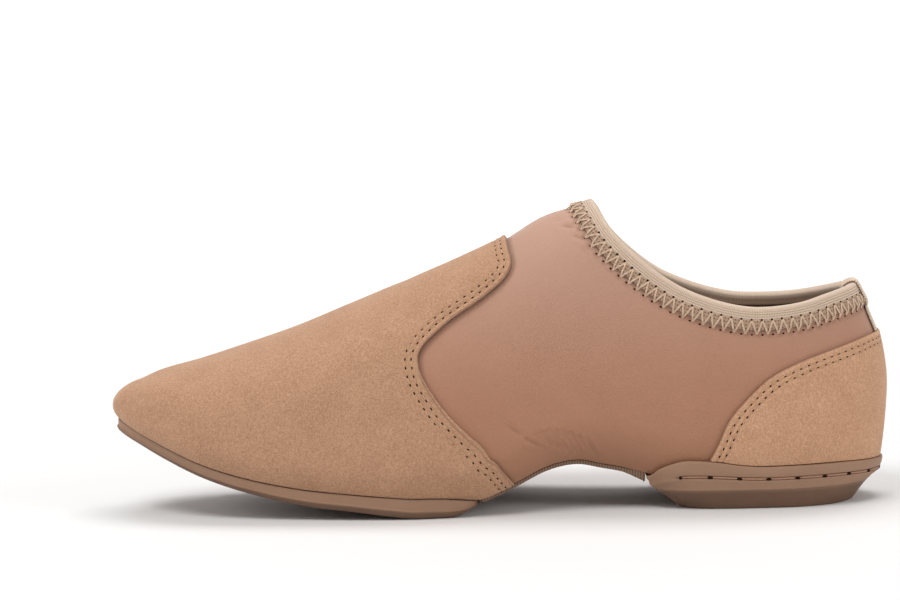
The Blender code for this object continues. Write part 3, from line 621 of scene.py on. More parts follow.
def both_sides(count):
    """Sides and runs along an edge: up the medial side to its end and back down the lateral side."""
    run = np.linspace(0, 1, count)
    return np.concatenate([-np.ones(count), np.ones(count - 1)]), np.concatenate([run, run[-2::-1]])


print("sides and runs of three stations:", both_sides(3))

# %% [markdown]
# A material is a small recipe, and recipes read best as sums. The class below
# wraps one socket of the node tree, so that adding or multiplying two of them
# adds a Math node. Any other node comes from its node method: settings first,
# then the sockets. Steady values go straight onto the shader.

# %% Wires for the materials
class Wire:
    """A socket of a material's tree that can be added, multiplied and compared."""

    def __init__(self, tree, socket=None):
        self.tree = tree
        self.socket = socket

    def node(self, kind, settings=None, sockets=None, out=0):
        made = self.tree.nodes.new(kind)
        for name, value in (settings or {}).items():
            setattr(made, name, value)
        for name, value in (sockets or {}).items():
            if isinstance(value, Wire):
                self.tree.links.new(value.socket, made.inputs[name])
            else:
                made.inputs[name].default_value = value
        return Wire(self.tree, made.outputs[out])

    def maths(self, operation, *values):
        sockets = dict(enumerate((self, *values)))
        return self.node("ShaderNodeMath", {"operation": operation}, sockets)

    def __add__(self, other):
        return self.maths("ADD", other)

    def __sub__(self, other):
        return self.maths("SUBTRACT", other)

    def __mul__(self, other):
        return self.maths("MULTIPLY", other)

    def __rsub__(self, other):
        return self.node("ShaderNodeMath", {"operation": "SUBTRACT"}, {0: other, 1: self})

    __radd__ = __add__
    __rmul__ = __mul__

    def wave(self, pitch):
        """From 0 to 1 and back once in every pitch."""
        return (self * (2 * math.pi / pitch)).maths("SINE") * 0.5 + 0.5

    def between(self, low, high):
        """Smooth step from 0 at low to 1 at high."""
        ends = {"From Min": low, "From Max": high, "Value": self}
        return self.node("ShaderNodeMapRange", {"interpolation_type": "SMOOTHSTEP"}, ends)

    def near(self, centre, width):
        """Soft bump, 1 at the centre and 0 a width away."""
        return 1 - ((self - centre).maths("ABSOLUTE")).between(0, width)


print("a wire can be joined by", [name for name in vars(Wire) if name.startswith("__r")])

# %% [markdown]
# A finish is one material: its Principled shader, its wires, and the few nodes
# that nearly every finish needs, such as a noise of a stated size in metres, a
# mark that a mesh carries, a mix of two colours and a bump.

# %% Finishes
class Finish:
    """A material with its shader, its wires and the noises that most finishes need."""

    def __init__(self, name, roughness, **steady):
        self.material = bpy.data.materials.new(name)
        self.material.use_nodes = True
        tree = self.material.node_tree
        self.shader = tree.nodes["Principled BSDF"]
        self.shader.inputs["Roughness"].default_value = roughness
        for socket, value in steady.items():
            socket = socket.replace("_", " ").title().replace("Ior", "IOR")
            self.shader.inputs[socket].default_value = value
        self.wire = Wire(tree)
        self.place = self.wire.node("ShaderNodeTexCoord", out="Object")

    def noise(self, size, detail=3, roughness=0.55, stretch=None):
        place = self.place
        if stretch:
            place = self.wire.node("ShaderNodeMapping", {}, {"Vector": place, "Scale": stretch})
        sockets = {"Vector": place, "Scale": 1 / size, "Detail": detail, "Roughness": roughness}
        return self.wire.node("ShaderNodeTexNoise", {}, sockets)

    def axis(self, number):
        return self.wire.node("ShaderNodeSeparateXYZ", {}, {0: self.place}, out=number)

    def mark(self, name):
        return self.wire.node("ShaderNodeAttribute", {"attribute_name": name}, out="Fac")

    def colours(self, share, first, second):
        share = {0: share, 6: self.as_colour(first), 7: self.as_colour(second)}
        return self.wire.node("ShaderNodeMix", {"data_type": "RGBA"}, share, out=2)

    def as_colour(self, value):
        return value if isinstance(value, Wire) else (*value, 1)

    def layered(self, ground, *layers):
        """A ground colour with colours over it, each where its mask says."""
        for mask, colour in layers:
            ground = self.colours(mask, ground, colour)
        return ground

    def feed(self, **wires):
        for socket, wire in wires.items():
            self.wire.tree.links.new(wire.socket, self.shader.inputs[socket.replace("_", " ").title()])

    def bump(self, height, distance, strength=1.0, on=None):
        sockets = {"Height": height, "Distance": distance, "Strength": strength}
        if on:
            sockets["Normal"] = on
        return self.wire.node("ShaderNodeBump", {}, sockets)

    def on(self, *pieces):
        for made in pieces:
            made.data.materials.append(self.material)
        count = len(self.material.node_tree.nodes)
        print(self.material.name, "nodes", count, "on", [made.name for made in pieces])


print("a finish can", [name for name in vars(Finish) if not name.startswith("_")])

# %% [markdown]
# The stretch upper is cloth over thin foam. It shows soft creases above the
# arch, where the foot's waist pulls it in, and small puckers where the zigzag
# seam draws it up. Creases are troughs along short lines with a slight swelling
# beside them. Bump could draw them, but a real trough also takes a shadow. Each
# row of the table is one crease, drawn on the last.

# %% Creases of the upper
Crease = namedtuple("Crease", "at up to_at to_up depth width")
CREASES = [Crease(*row) for row in (
    (0.504, 0.312, 0.532, 0.240, 0.00030, 0.0009),
    (0.531, 0.236, 0.553, 0.130, 0.00036, 0.0008),
    (0.542, 0.232, 0.562, 0.120, 0.00040, 0.0007),
    (0.551, 0.218, 0.570, 0.096, 0.00048, 0.0007),
    (0.560, 0.206, 0.579, 0.066, 0.00052, 0.0007),
    (0.569, 0.194, 0.588, 0.048, 0.00052, 0.0007),
    (0.578, 0.178, 0.597, 0.036, 0.00048, 0.0007),
    (0.588, 0.156, 0.606, 0.028, 0.00044, 0.0007),
    (0.598, 0.134, 0.614, 0.030, 0.00038, 0.0007),
    (0.608, 0.120, 0.621, 0.040, 0.00030, 0.0008),
    (0.582, 0.835, 0.602, 0.795, 0.00034, 0.0010),
    (0.596, 0.765, 0.612, 0.730, 0.00030, 0.0009),
    (0.606, 0.700, 0.618, 0.672, 0.00020, 0.0009),
    (0.574, 0.880, 0.590, 0.862, 0.00020, 0.0009),
)]


def along_crease(points, crease, side):
    """Distance of points from a crease's line and their share along it."""
    ends = form(side, np.array([crease.at, crease.to_at]), np.array([crease.up, crease.to_up]))
    run = ends[1] - ends[0]
    share = ((points - ends[0]) @ run) / (run @ run)
    gap = np.linalg.norm(points - ends[0] - np.clip(share, 0, 1)[:, None] * run, axis=1)
    return gap, share


def creased(points):
    """How far the cloth stands out from the form at each point."""
    out = np.zeros(len(points))
    for side in (-1.0, 1.0):
        for crease in CREASES:
            gap, share = along_crease(points, crease, side)
            fade = np.clip(1.15 - np.abs(share - 0.45) * 1.3, 0, 1)
            trough = np.exp(-(gap / crease.width) ** 2)
            swell = np.exp(-((gap - 2.1 * crease.width) / crease.width) ** 2)
            out += crease.depth * fade * (0.45 * swell - trough)
    return out


middle = form(-1.0, np.array([0.542]), np.array([0.183]))
print("depth of the main crease:", (-creased(middle) * 1000).round(2), "mm")

# %% [markdown]
# The upper is one hollow shell. Its outside follows the last with the creases,
# its inside lies one wall deeper, and both stay open at the collar and under the
# sole, where binding and insole cover them. The points lie closest together
# where the creases are and furthest apart under the suede.

# %% Places over the shell
SHELL_WALL = 0.0020


def shell_patches(hidden, front, back, low_rows, high_rows):
    """Places over the shell: columns under the suede, to the throat and along the collar, and rows."""
    rise = np.concatenate([np.linspace(0, 0.36, low_rows)[:-1], np.linspace(0.36, 1, high_rows)])
    under_suede = at_of(np.linspace(0, v_of(0.37), hidden))
    turn = np.concatenate([under_suede[:-1], np.linspace(0.37, COLLAR[0].at, front)])
    turn = np.sort(np.concatenate([turn, TOE_TURN + np.linspace(0, 0.01, 6)]))
    runs = np.linspace(0, 1, back)
    patches = []
    for side in (-1, 1):
        patches.append((side, turn[:, None] + 0 * rise, rise + 0 * turn[:, None]))
        at, top = collar_place(side, runs)
        patches.append((side, at[:, None] + 0 * rise, top[:, None] * rise))
    return patches


print("patches on both sides:", len(shell_patches(3, 3, 3, 3, 3)))

# %% The edges as lines of points
sides, runs = both_sides(500)
collar_line = form(sides, *collar_place(sides, runs))
vamp_line = form(sides, *vamp_place(sides, runs))
counter_line = form(sides, *counter_place(sides, runs))
print("round the collar:", round(arc(collar_line)[-1] * 1000), "mm")

# %% The stretch upper
OUTSIDE_COUNTS = {"hidden": 44, "front": 156, "back": 110, "low_rows": 78, "high_rows": 56}
INSIDE_COUNTS = {"hidden": 30, "front": 30, "back": 60, "low_rows": 14, "high_rows": 20}
COLLAR_REACH = 0.03
VAMP_REACH = 0.02
base, points, faces = surface(shell_patches(**OUTSIDE_COUNTS), creased)
below, around = nearest(base, collar_line, COLLAR_REACH)
behind, _ = nearest(base, vamp_line, VAMP_REACH)
inside_places = shell_patches(**INSIDE_COUNTS)
_, inner_points, inner_faces = surface(inside_places, lambda p: np.full(len(p), -SHELL_WALL))
inner_faces = [[i + len(points) for i in reversed(face)] for face in inner_faces]
fill = np.zeros(len(inner_points))
marks = {
    "inside": np.concatenate([np.zeros(len(points)), fill + 1]),
    "below": np.concatenate([below, fill + COLLAR_REACH]) * 1000,
    "around": np.concatenate([around, fill]) * 1000,
    "behind": np.concatenate([behind, fill + VAMP_REACH]) * 1000,
    "fold": np.concatenate([-creased(base), fill]) * 1000,
}
stretch_upper = piece(
    "stretch_upper", np.concatenate([points, inner_points]), faces + inner_faces,
    "stretch_cloth", "upper", marks, flip=False,
)

# %% [markdown]
# The suede pieces are cut, their edges pared and folded, and sewn down with two
# rows. The leather sinks along each row and swells a little between the rows.
# Sculpting could show that; worked out from the distance to the cut edge it is
# even all round. The points are packed closely near that edge, where it shows.

# %% Relief of a sewn edge
SUEDE = 0.0010
SUEDE_GAP = 1.7 * GAP
ROWS_IN = (0.0021, 0.0041)
COUNTER_ROWS_IN = (0.0020, 0.0038)
EDGE_ROUND = 0.0007
ROW_SINK = 0.00022
ROW_WIDTH = 0.00045


def ridge_at(distance, place, height, width):
    """A soft ridge of a height and width beside the edge."""
    return height * np.exp(-((distance - place) / width) ** 2)


def sewn(distance, rows):
    """Thickness of suede at a distance from its cut edge."""
    edge = SUEDE * (0.45 + 0.55 * rounded(distance / EDGE_ROUND))
    sunk = sum(ridge_at(distance, row, ROW_SINK, ROW_WIDTH) for row in rows)
    swell = ridge_at(distance, 0.0009, 0.00012, 0.0005)
    swell = swell + ridge_at(distance, np.mean(rows), 0.00008, 0.0004)
    return edge - sunk + swell


def suede_piece(name, patches, line, rows, stands_for):
    """A suede sheet with a relief along one edge."""
    base, inner, faces = surface(patches, lambda p: np.full(len(p), SUEDE_GAP * 0.6))
    edge, place = nearest(base, line, 0.03)
    _, outer, _ = surface(patches, lambda p: SUEDE_GAP + sewn(edge, rows))
    count = len(base)
    skin = faces + [[i + count for i in reversed(face)] for face in faces]
    skin += [[b, a, a + count, b + count] for a, b in open_edges(faces)]
    marks = {"edge": np.concatenate([edge, edge]) * 1000, "place": np.concatenate([place, place]) * 1000}
    return piece(name, np.concatenate([outer, inner]), skin, "suede", stands_for, marks)


thick = [round(float(sewn(distance, ROWS_IN)) * 1000, 2) for distance in (0.0, 0.001, 0.01)]
print("suede at its edge, 1 mm in and 10 mm in:", thick, "mm")

# %% [markdown]
# Below, the suede ends just above the rubber: the forepart above the pad and the
# strip, the counter above the rim of the heel. The lowest place is searched by
# halving, because the outside of the layer decides, not its inside.

# %% Where the suede stops above the sole
SOLE_GAP = 1.4 * GAP
HEEL_RIM = 0.0048
Rim = namedtuple("Rim", "at height")
HEEL_RIM_TOP = [Rim(*row) for row in (
    (0.688, 0.40), (0.697, 0.71), (0.717, 1.23), (0.738, 1.48), (0.775, 1.36),
    (0.805, 1.12), (0.835, 1.00), (0.922, 1.02), (1.000, 0.83),
)]


def tread_floor(x, side):
    """Just above the top of the pad and of the strip behind it."""
    return sole_edge(side, at_edge(x)) - SOLE_GAP + GAP


def rim_top(x):
    at = np.clip(x / LENGTH + 0.5, 0, 1)
    return HEEL_SEAT + HEEL_RIM * smooth(HEEL_RIM_TOP, "height", at)


def rim_floor(x, side):
    """Just above the rim of the heel."""
    return rim_top(x) + GAP


def clear_up(side, at, out, floor):
    """Lowest place up the section at which a layer's outside stays above a floor."""
    low = np.zeros(np.shape(at))
    high = np.full(np.shape(at), WIDEST)

    def free(up):
        spot = layer(side, at, up, out)
        return spot[..., 2] >= floor(spot[..., 0], side)

    start = free(low)
    for _ in range(16):
        middle = (low + high) / 2
        passed = free(middle)
        high = np.where(passed, middle, high)
        low = np.where(passed, low, middle)
    return np.where(start, 0, high)


def fine_at_end(count, close, reach):
    """Shares from 0 to 1 with closely packed ones in the last reach."""
    turn = 1 - reach
    wide = np.linspace(0, turn, count)[:-1] ** 1.25 * turn ** -0.25
    return np.concatenate([wide, np.linspace(turn, 1, close)])


print("rim of the heel at the back:", round(float(rim_top(LENGTH / 2)) * 1000, 1), "mm")

# %% [markdown]
# The forepart is one piece of suede from the toe to a round tab on the instep.
# Its columns run from the toe to the cut edge and follow that edge's swing more
# and more, so the packed points end up parallel to the stitching.

# %% The suede forepart
run = np.linspace(0, 1, 150)
share = fine_at_end(count=130, close=22, reach=0.055)
share = np.sort(np.concatenate([share, np.linspace(0, 0.05, 12)[1:]]))[:, None]
blend = share**2 * (3 - 2 * share)
vamp = []
for side in (-1, 1):
    edge_at, edge_up = vamp_place(side, run)
    at = share * edge_at
    low = clear_up(side, at[:, :1], SUEDE_GAP + SUEDE, tread_floor)
    vamp.append((side, at, low + (1 - low) * (run * (1 - blend) + edge_up * blend)))
suede_vamp = suede_piece("suede_vamp", vamp, vamp_line, ROWS_IN, "vamp")

# %% [markdown]
# The counter stiffens the back. Its columns stand upright from the heel's rim to
# its curved top edge, so both edges are clean without any cutting.

# %% The suede counter
run = np.linspace(0, 1, 190)
rise = fine_at_end(count=46, close=20, reach=0.16)
counter = []
for side in (-1, 1):
    at, top = counter_place(side, run)
    low = clear_up(side, at, SUEDE_GAP + SUEDE, rim_floor)
    top = np.maximum(top, low)
    top[0] = low[0]
    counter.append((side, at[:, None] + 0 * rise, low[:, None] + (top - low)[:, None] * rise))
suede_counter = suede_piece("suede_counter", counter, counter_line, COUNTER_ROWS_IN, "heel_counter")

# %% [markdown]
# The double rows are machine stitches: a thread a third of a millimetre thick
# dives into a needle hole at every pitch and lies sunk between two holes. Each
# stitch is a short bent tube, and each hole a small dark cup of painted shade,
# because bump alone would vanish at the outline of the tab.

# %% Stitches along a line
STITCH_PITCH = 0.0030
COUNTER_PITCH = 0.0029
THREAD_RADIUS = 0.00019
STITCH_LIFT = 0.00004
STITCH_DIVE = 0.00042
HOLE_LENGTH = 0.00062
HOLE_WIDTH = 0.00045
HOLE_SUNK = 0.00001


def seam_line(place, rows_in, height, inwards, first, count=700):
    """Points and normals of a row of stitching inside an edge, from one sole edge to the other."""
    run = np.linspace(first, 1, count)
    side = np.concatenate([-np.ones(count), np.ones(count - 1)])
    return inset(place, side, np.concatenate([run, run[-2::-1]]), rows_in, height, inwards)


def on_line(points, facing, distance):
    """Points and normals at distances along a line."""
    run = arc(points)
    spots = np.stack([np.interp(distance, run, points[:, k]) for k in range(3)], axis=-1)
    return spots, unit(np.stack([np.interp(distance, run, facing[:, k]) for k in range(3)], axis=-1))


def stitches_on(points, facing, pitch, start, steps=9):
    """Paths and normals of one stitch after another, each diving at both ends."""
    count = int(arc(points)[-1] / pitch - start)
    t = np.linspace(0, 1, steps)
    distance = (np.arange(count)[:, None] + start + 0.10 + 0.80 * t) * pitch
    spots, up = on_line(points, facing, distance)
    rise = STITCH_LIFT - STITCH_DIVE * np.abs(2 * t - 1) ** 4
    return spots + up * rise[:, None], up


print("stitches round the forepart: about", int(arc(vamp_line)[-1] / STITCH_PITCH))

# %% Needle holes and joining
def cups_on(points, facing, distance, length, width):
    """Points and faces of small dark ovals of painted shade along a line at every needle hole."""
    spots, up = on_line(points, facing, distance)
    step = 0.0004
    course = unit(on_line(points, facing, distance + step)[0] - on_line(points, facing, distance - step)[0])
    over = np.cross(up, course)
    turn = np.arange(10) * 2 * math.pi / 10
    circle = np.cos(turn)[:, None] * course[:, None] * length
    circle = circle + np.sin(turn)[:, None] * over[:, None] * width
    domes = ((1, 0), (0.6, 0.00005), (0.02, 0.00007))
    rings = [spots[:, None] + circle * share + up[:, None] * (HOLE_SUNK + rise) for share, rise in domes]
    points = np.stack(rings, axis=1)
    return points.reshape(-1, 3), tube_faces(np.arange(points[..., 0].size).reshape(points.shape[:3]))


def joined(parts):
    """Several sets of points and faces as one."""
    points, faces, start = [], [], 0
    for more, quads in parts:
        points.append(more)
        faces += [[i + start for i in quad] for quad in quads]
        start += len(more)
    return np.concatenate(points), faces


print("sizes of a hole:", HOLE_LENGTH * 1000, "by", HOLE_WIDTH * 1000, "mm")

# %% The double rows
threads, cups = [], []
for place, rows_in, pitch, inwards, first in (
    (vamp_place, ROWS_IN, STITCH_PITCH, -1, 0.012),
    (counter_place, COUNTER_ROWS_IN, COUNTER_PITCH, 1, 0.03),
):
    for row, start in zip(rows_in, (0.5, 1.0)):
        height = SUEDE_GAP + float(sewn(row, rows_in))
        line, facing = seam_line(place, row, height, inwards, first)
        paths, up = stitches_on(line, facing, pitch, start)
        threads.append(tubes(paths, up, THREAD_RADIUS))
        holes = np.arange(start, arc(line)[-1] / pitch) * pitch
        cups.append(cups_on(line, facing, holes, HOLE_LENGTH, HOLE_WIDTH))
suede_stitches = piece("suede_stitches", *joined(threads), "suede", flip=False)
needle_holes = piece("needle_holes", *joined(cups), "suede", flip=False)

# %% [markdown]
# The binding is ribbed elastic folded over the collar. Its profile is a table of
# depth below the edge and distance outside the last, swept round the collar.
# A bevelled curve could be swept too, but it wouldn't lean with the last. Two
# fine ribs run beside the rolled edge. Marks for depth and for the distance run
# let the weave follow the band round every curve.

# %% Profile of the binding
BINDING_THICKNESS = 0.0008
BINDING_DEPTH = 0.0067
BINDING_INSIDE_DEPTH = 0.0060
FOLD_RISE = 0.0011
RIB_PITCH = 0.00078
RIB_RELIEF = 0.00011
ROW_PITCH = 0.0012
ROW_RELIEF = 0.00005
outside = GAP + BINDING_THICKNESS
lining = -SHELL_WALL - 2 * GAP
inside = lining - BINDING_THICKNESS


def rib(depth):
    """Relief of the ribs beside the rolled edge."""
    shape = RIB_RELIEF * np.cos(2 * math.pi * (depth - 0.0011) / RIB_PITCH)
    lower = ROW_RELIEF * np.cos(2 * math.pi * depth / ROW_PITCH)
    below = np.where(depth >= 0.0031, lower - 2 * ROW_RELIEF, 0)
    return np.where((depth > 0.0006) & (depth < 0.0031), shape, below)


depths = np.linspace(BINDING_DEPTH, 0, 62)
thin = np.where(depths > BINDING_DEPTH - 0.0004, 0.75, 1.0)
profile = [(d, GAP + BINDING_THICKNESS * k + float(rib(d))) for d, k in zip(depths, thin)]
turn = np.linspace(0, math.pi, 14)[1:-1]
middle_out = (outside + inside) / 2
half_fold = outside - middle_out
profile += [(-FOLD_RISE * math.sin(t), middle_out + half_fold * math.cos(t)) for t in turn]
profile += [(d, inside) for d in np.linspace(0, BINDING_INSIDE_DEPTH, 14)]
profile += [(d, lining) for d in np.linspace(BINDING_INSIDE_DEPTH, 0, 5)]
profile += [(d, GAP) for d in np.linspace(0, BINDING_DEPTH, 6)]
print("points of the profile:", len(profile))

# %% The binding swept round the collar
def round_collar(spot, count):
    """Sides and runs of places at distances round the collar."""
    side, run = both_sides(count)
    line = arc(form(side, *collar_place(side, run)))
    run_at = np.interp(spot, line, np.concatenate([run[:count], 2 - run[count:]]))
    return np.where(run_at < 1, -1.0, 1.0), np.where(run_at > 1, 2 - run_at, run_at)


stations = 640
round_length = arc(collar_line)[-1]
band_spots = np.linspace(0, round_length, stations, endpoint=False)
band_sides, band_runs = round_collar(band_spots, 500)
band = np.stack([inset(collar_place, band_sides, band_runs, d, o, 1)[0] for d, o in profile], axis=1)
ids = np.arange(band[..., 0].size).reshape(band.shape[:2])
ids = np.concatenate([ids, ids[:1]])
ids = np.concatenate([ids, ids[:, :1]], axis=1)
marks = {
    "depth": np.tile([d for d, _ in profile], stations) * 1000,
    "around": np.repeat(band_spots, len(profile)) * 1000,
    "inside": np.tile([float(o < 0) for _, o in profile], stations),
}
points = band.reshape(-1, 3)
elastic_binding = piece("elastic_binding", points, grid_faces(ids), "binding", "collar_binding", marks)

# %% [markdown]
# A zigzag seam holds the binding. Its doubled thread runs between an upper row of
# holes in the elastic and a lower row in the cloth just below it. A pattern in
# the material would lie flat, so each leg is a tube on a short path over the
# band that steps down onto the cloth, and a small dark pit of painted shade marks every hole.

# %% A place on the band
ZIGZAG_PITCH = 0.0031
ZIGZAG_TOP = 0.0033
ZIGZAG_FOOT = 0.0079
ZIGZAG_DIVE = 0.00030


def collar_point(spot, depth, out):
    """Point and normal on the band at a distance round the collar and a depth."""
    return inset(collar_place, *round_collar(spot, 900), depth, out, 1)


print("zigzag from", ZIGZAG_TOP * 1000, "to", ZIGZAG_FOOT * 1000, "mm below the edge")

# %% The zigzag thread
turns = int(round_length / ZIGZAG_PITCH)
zigzag_step = round_length / turns
t = np.linspace(0, 1, 12)
start = np.arange(turns)[:, None] * zigzag_step
on_top = outside + 0.00014
parts = []
for shift, radius in ((-0.00012, 0.00016), (0.00016, 0.00013)):
    for way in (0, 1):
        spot = start + zigzag_step / 2 * (t + way) + shift
        slope = t if way == 0 else 1 - t
        depth = ZIGZAG_TOP + (ZIGZAG_FOOT - ZIGZAG_TOP) * slope + 0 * start
        past = np.clip((depth - BINDING_DEPTH) / 0.0006, 0, 1)
        out = on_top - (BINDING_THICKNESS + 0.0001) * past - ZIGZAG_DIVE * np.abs(2 * t - 1) ** 7
        path, up = collar_point(spot % round_length, depth, out)
        parts.append(tubes(path, up, radius, 6))
zigzag_thread = piece("zigzag_thread", *joined(parts), "binding", flip=False)

# %% Pits at the zigzag's tips
tips = np.arange(0, turns) * zigzag_step
pits = []
for spot, depth, out, length, width in (
    (tips, ZIGZAG_TOP - 0.0001, outside + 0.00003, 0.00036, 0.00042),
    (tips + zigzag_step / 2, ZIGZAG_FOOT + 0.0001, 0.00003, 0.00042, 0.00030),
):
    line, facing = collar_point(np.linspace(0, round_length, 1200) % round_length, depth, out)
    run = arc(line)[-1] / round_length
    pits.append(cups_on(line, facing, spot * run, length, width))
zigzag_pits = piece("zigzag_pits", *joined(pits), "binding", flip=False)

# %% [markdown]
# A narrow ribbed tape covers the back seam: it comes up from under the counter,
# goes over the binding and ends inside. It is a flat ribbon with cross ribs and
# a sawtooth edge where its filling thread turns. Its path is a smoothed line of
# corners, because a physical drape would be slower and land less exactly.

# %% Path of the tape
TAPE_THICKNESS = 0.0005
TAPE_WIDTH = 0.0095
TAPE_INSIDE_DEPTH = 0.0075
TAPE_RIB_PITCH = 0.00085
TAPE_RIB = 0.00008
TAPE_TOOTH = 0.00016
near_back = np.linspace(1, 0.8, 200)
from_seam = arc(form(-1.0, *collar_place(-1.0, near_back)))
seam_ends = [up_of(-1, 1.0, height_of(share)) for share in (COUNTER_EDGE[-1].height, COLLAR[-1].medial)]
seam_up = np.linspace(*seam_ends, 60)
seam_length = arc(form(-1.0, np.ones(60), seam_up))[-1]
half = BINDING_THICKNESS / 2
tape_depth = seam_length + 0.0012
over = 2 * GAP + BINDING_THICKNESS
bend = 2 * GAP + half
tape_path = np.array([
    (tape_depth, GAP + 0.0001), (BINDING_DEPTH + 5 * GAP, GAP + 0.0001), (BINDING_DEPTH + GAP, over),
    (BINDING_DEPTH / 2, over), (0, over), (-bend, bend), (-over, -SHELL_WALL * 0.2),
    (-over, -SHELL_WALL * 0.8), (-bend, inside + half - GAP), (0, inside - 1.5 * GAP),
    (TAPE_INSIDE_DEPTH, inside - 1.5 * GAP),
])
run = arc(tape_path)
spot = np.linspace(0, run[-1], 170)
tape_line = np.stack([np.interp(spot, run, tape_path[:, k]) for k in range(2)], axis=-1)
for _ in range(6):
    tape_line[1:-1] = (tape_line[:-2] + 2 * tape_line[1:-1] + tape_line[2:]) / 4
print("length of the tape:", round(run[-1] * 1000, 1), "mm")

# %% The tape as a ribbon
across = unit(np.gradient(tape_line, axis=0))
outwards = np.stack([-across[:, 1], across[:, 0]], axis=-1)
outwards *= np.sign(outwards[0, 1])
ribs = TAPE_RIB * np.cos(2 * math.pi * spot / TAPE_RIB_PITCH)
tape_top = tape_line + outwards * (TAPE_THICKNESS + ribs)[:, None]
tooth = TAPE_TOOTH * np.sign(np.sin(2 * math.pi * spot / TAPE_RIB_PITCH))
columns = 17
aside = np.linspace(-1, 1, columns)
rings = []
for line in (tape_top, tape_line):
    for a in aside:
        width = a * (TAPE_WIDTH / 2 + tooth * (abs(a) > 0.95))
        side = np.where(width < 0, -1.0, 1.0)
        run_at = np.interp(np.abs(width), from_seam, near_back)
        rings.append(inset(collar_place, side, run_at, line[:, 0], line[:, 1], 1)[0])
top_ring, low_ring = np.stack(rings[:columns], axis=1), np.stack(rings[columns:], axis=1)
loop = np.concatenate([top_ring, low_ring[:, ::-1]], axis=1)
ids = np.arange(loop[..., 0].size).reshape(loop.shape[:2])
faces = grid_faces(np.concatenate([ids, ids[:, :1]], axis=1))
faces += [ids[0].tolist(), ids[-1].tolist()]
marks = {"spot": np.repeat(spot, loop.shape[1]) * 1000, "inside": np.repeat(spot * 0, loop.shape[1])}
seam_tape = piece("seam_tape", loop.reshape(-1, 3), faces, "binding", "back_seam_tape", marks)

# %% [markdown]
# The rubber pieces are towers of outlines. The pad has a matt side band with a
# fine line under it and a rounded lower edge. The heel has a tapered lift, a
# step, a groove for its long stitches and a rim that cups the upper. Bevels on
# an extruded outline would be alike all round; rings can differ at every height
# and place, and many thin ones keep the roundings soft.

# %% Outlines
def loop_of(medial, lateral):
    """Closed outline from its two sides, front to rear, and the pairs that face each other."""
    front = np.allclose(medial[0, :2], lateral[0, :2])
    rear = np.allclose(medial[-1, :2], lateral[-1, :2])
    loop = np.concatenate([medial, lateral[int(front):len(lateral) - int(rear)][::-1]])
    last = len(loop)
    pairs = [(i, (last - i) % last if front else last - 1 - i) for i in range(len(medial))]
    if rear:
        pairs[-1] = (len(medial) - 1, len(medial) - 1)
    return loop, pairs


def outset(loop, out):
    """Outline moved outwards in plan."""
    run = np.roll(loop[:, :2], -1, axis=0) - np.roll(loop[:, :2], 1, axis=0)
    turned = unit(np.stack([run[:, 1], -run[:, 0]], axis=-1))
    if np.sum(turned * (loop[:, :2] - loop[:, :2].mean(axis=0))) < 0:
        turned = -turned
    moved = loop.copy()
    moved[:, :2] += turned * np.broadcast_to(out, len(loop))[:, None]
    return moved


square = np.array([[0.0, 0, 0], [2, 0, 0], [2, 2, 0], [0, 2, 0]])
print("corner of a square moved out by 1:", outset(square, 1)[0].round(2))

# %% Towers of outlines
def tower(rings, pairs, slices=6):
    """Points and faces of a solid through a stack of outlines, with gridded ends."""
    count = len(rings[0])
    points = np.concatenate(rings)
    ids = np.arange(len(points)).reshape(len(rings), count)
    faces = grid_faces(np.concatenate([ids, ids[:, :1]], axis=1))
    more = []
    start = len(points)
    for level, turned in ((0, False), (len(rings) - 1, True)):
        rows = []
        for a, b in pairs:
            a, b = level * count + a, level * count + b
            row = [a]
            for k in range(1, slices):
                if a == b:
                    row.append(a)
                    continue
                more.append(points[a] + (points[b] - points[a]) * k / slices)
                row.append(start)
                start += 1
            rows.append(row + [b])
        faces += grid_faces(np.array(rows), turned)
    faces = [whole for whole in map(without_repeats, faces) if len(whole) > 2]
    return np.concatenate([points, more]), faces


def spread(levels, count, total):
    """One level for each point of a tower: its ring's, and 0 for the points of its ends."""
    of_rings = np.repeat(levels, count)
    return np.concatenate([of_rings, np.zeros(total - len(of_rings))])


print("points of a tower of two squares:", len(tower([square, square + [0, 0, 1]], [(0, 3), (1, 2)])[0]))

# %% The sole's edge in plan
def two_sides(at, place):
    return loop_of(place(-1, at), place(1, at))


def on_edge(side, place, drop):
    """Point moved to the height of the sole's edge at its place along X, less a drop."""
    place = place.copy()
    place[..., 2] = sole_edge(side, at_edge(place[..., 0])) - drop
    return place


print("front of the sole, 1 mm down:", (on_edge(-1, form(-1, np.array(0.0), 0), 0.001) * 1000).round(1))

# %% [markdown]
# The forefoot pad is moulded rubber, glued under the ball. From the side it is a
# thin band that curls up at the toe and thins out to a slant at its rear. Its
# outline is the sole's edge, moved in and out by the beads of one small table.

# %% Outline of the pad
PAD_BEAD = 0.0003
PAD_REAR = 0.470
Rear = namedtuple("Rear", "at height")
PAD_UNDER_REAR = [Rear(FLAT_REAR, 0.00), Rear(0.445, 0.09), Rear(0.458, 0.25), Rear(PAD_REAR, 0.45)]


def pad_edge(side, at):
    half = section(side, at)[0]
    foot = smooth(SECTIONS, "foot", at)
    corner = 0.80 + 0.20 * rounded((PAD_REAR - at) * LENGTH / PAD_THICKNESS)
    half = half * (1 + foot) / 2 * corner
    return on_edge(side, np.stack([along(at, 0 * at), side * half, 0 * at], axis=-1), SOLE_GAP)


print("half width at the ball:", round(float(pad_edge(1, np.array(0.38))[1]) * 1000, 1), "mm")

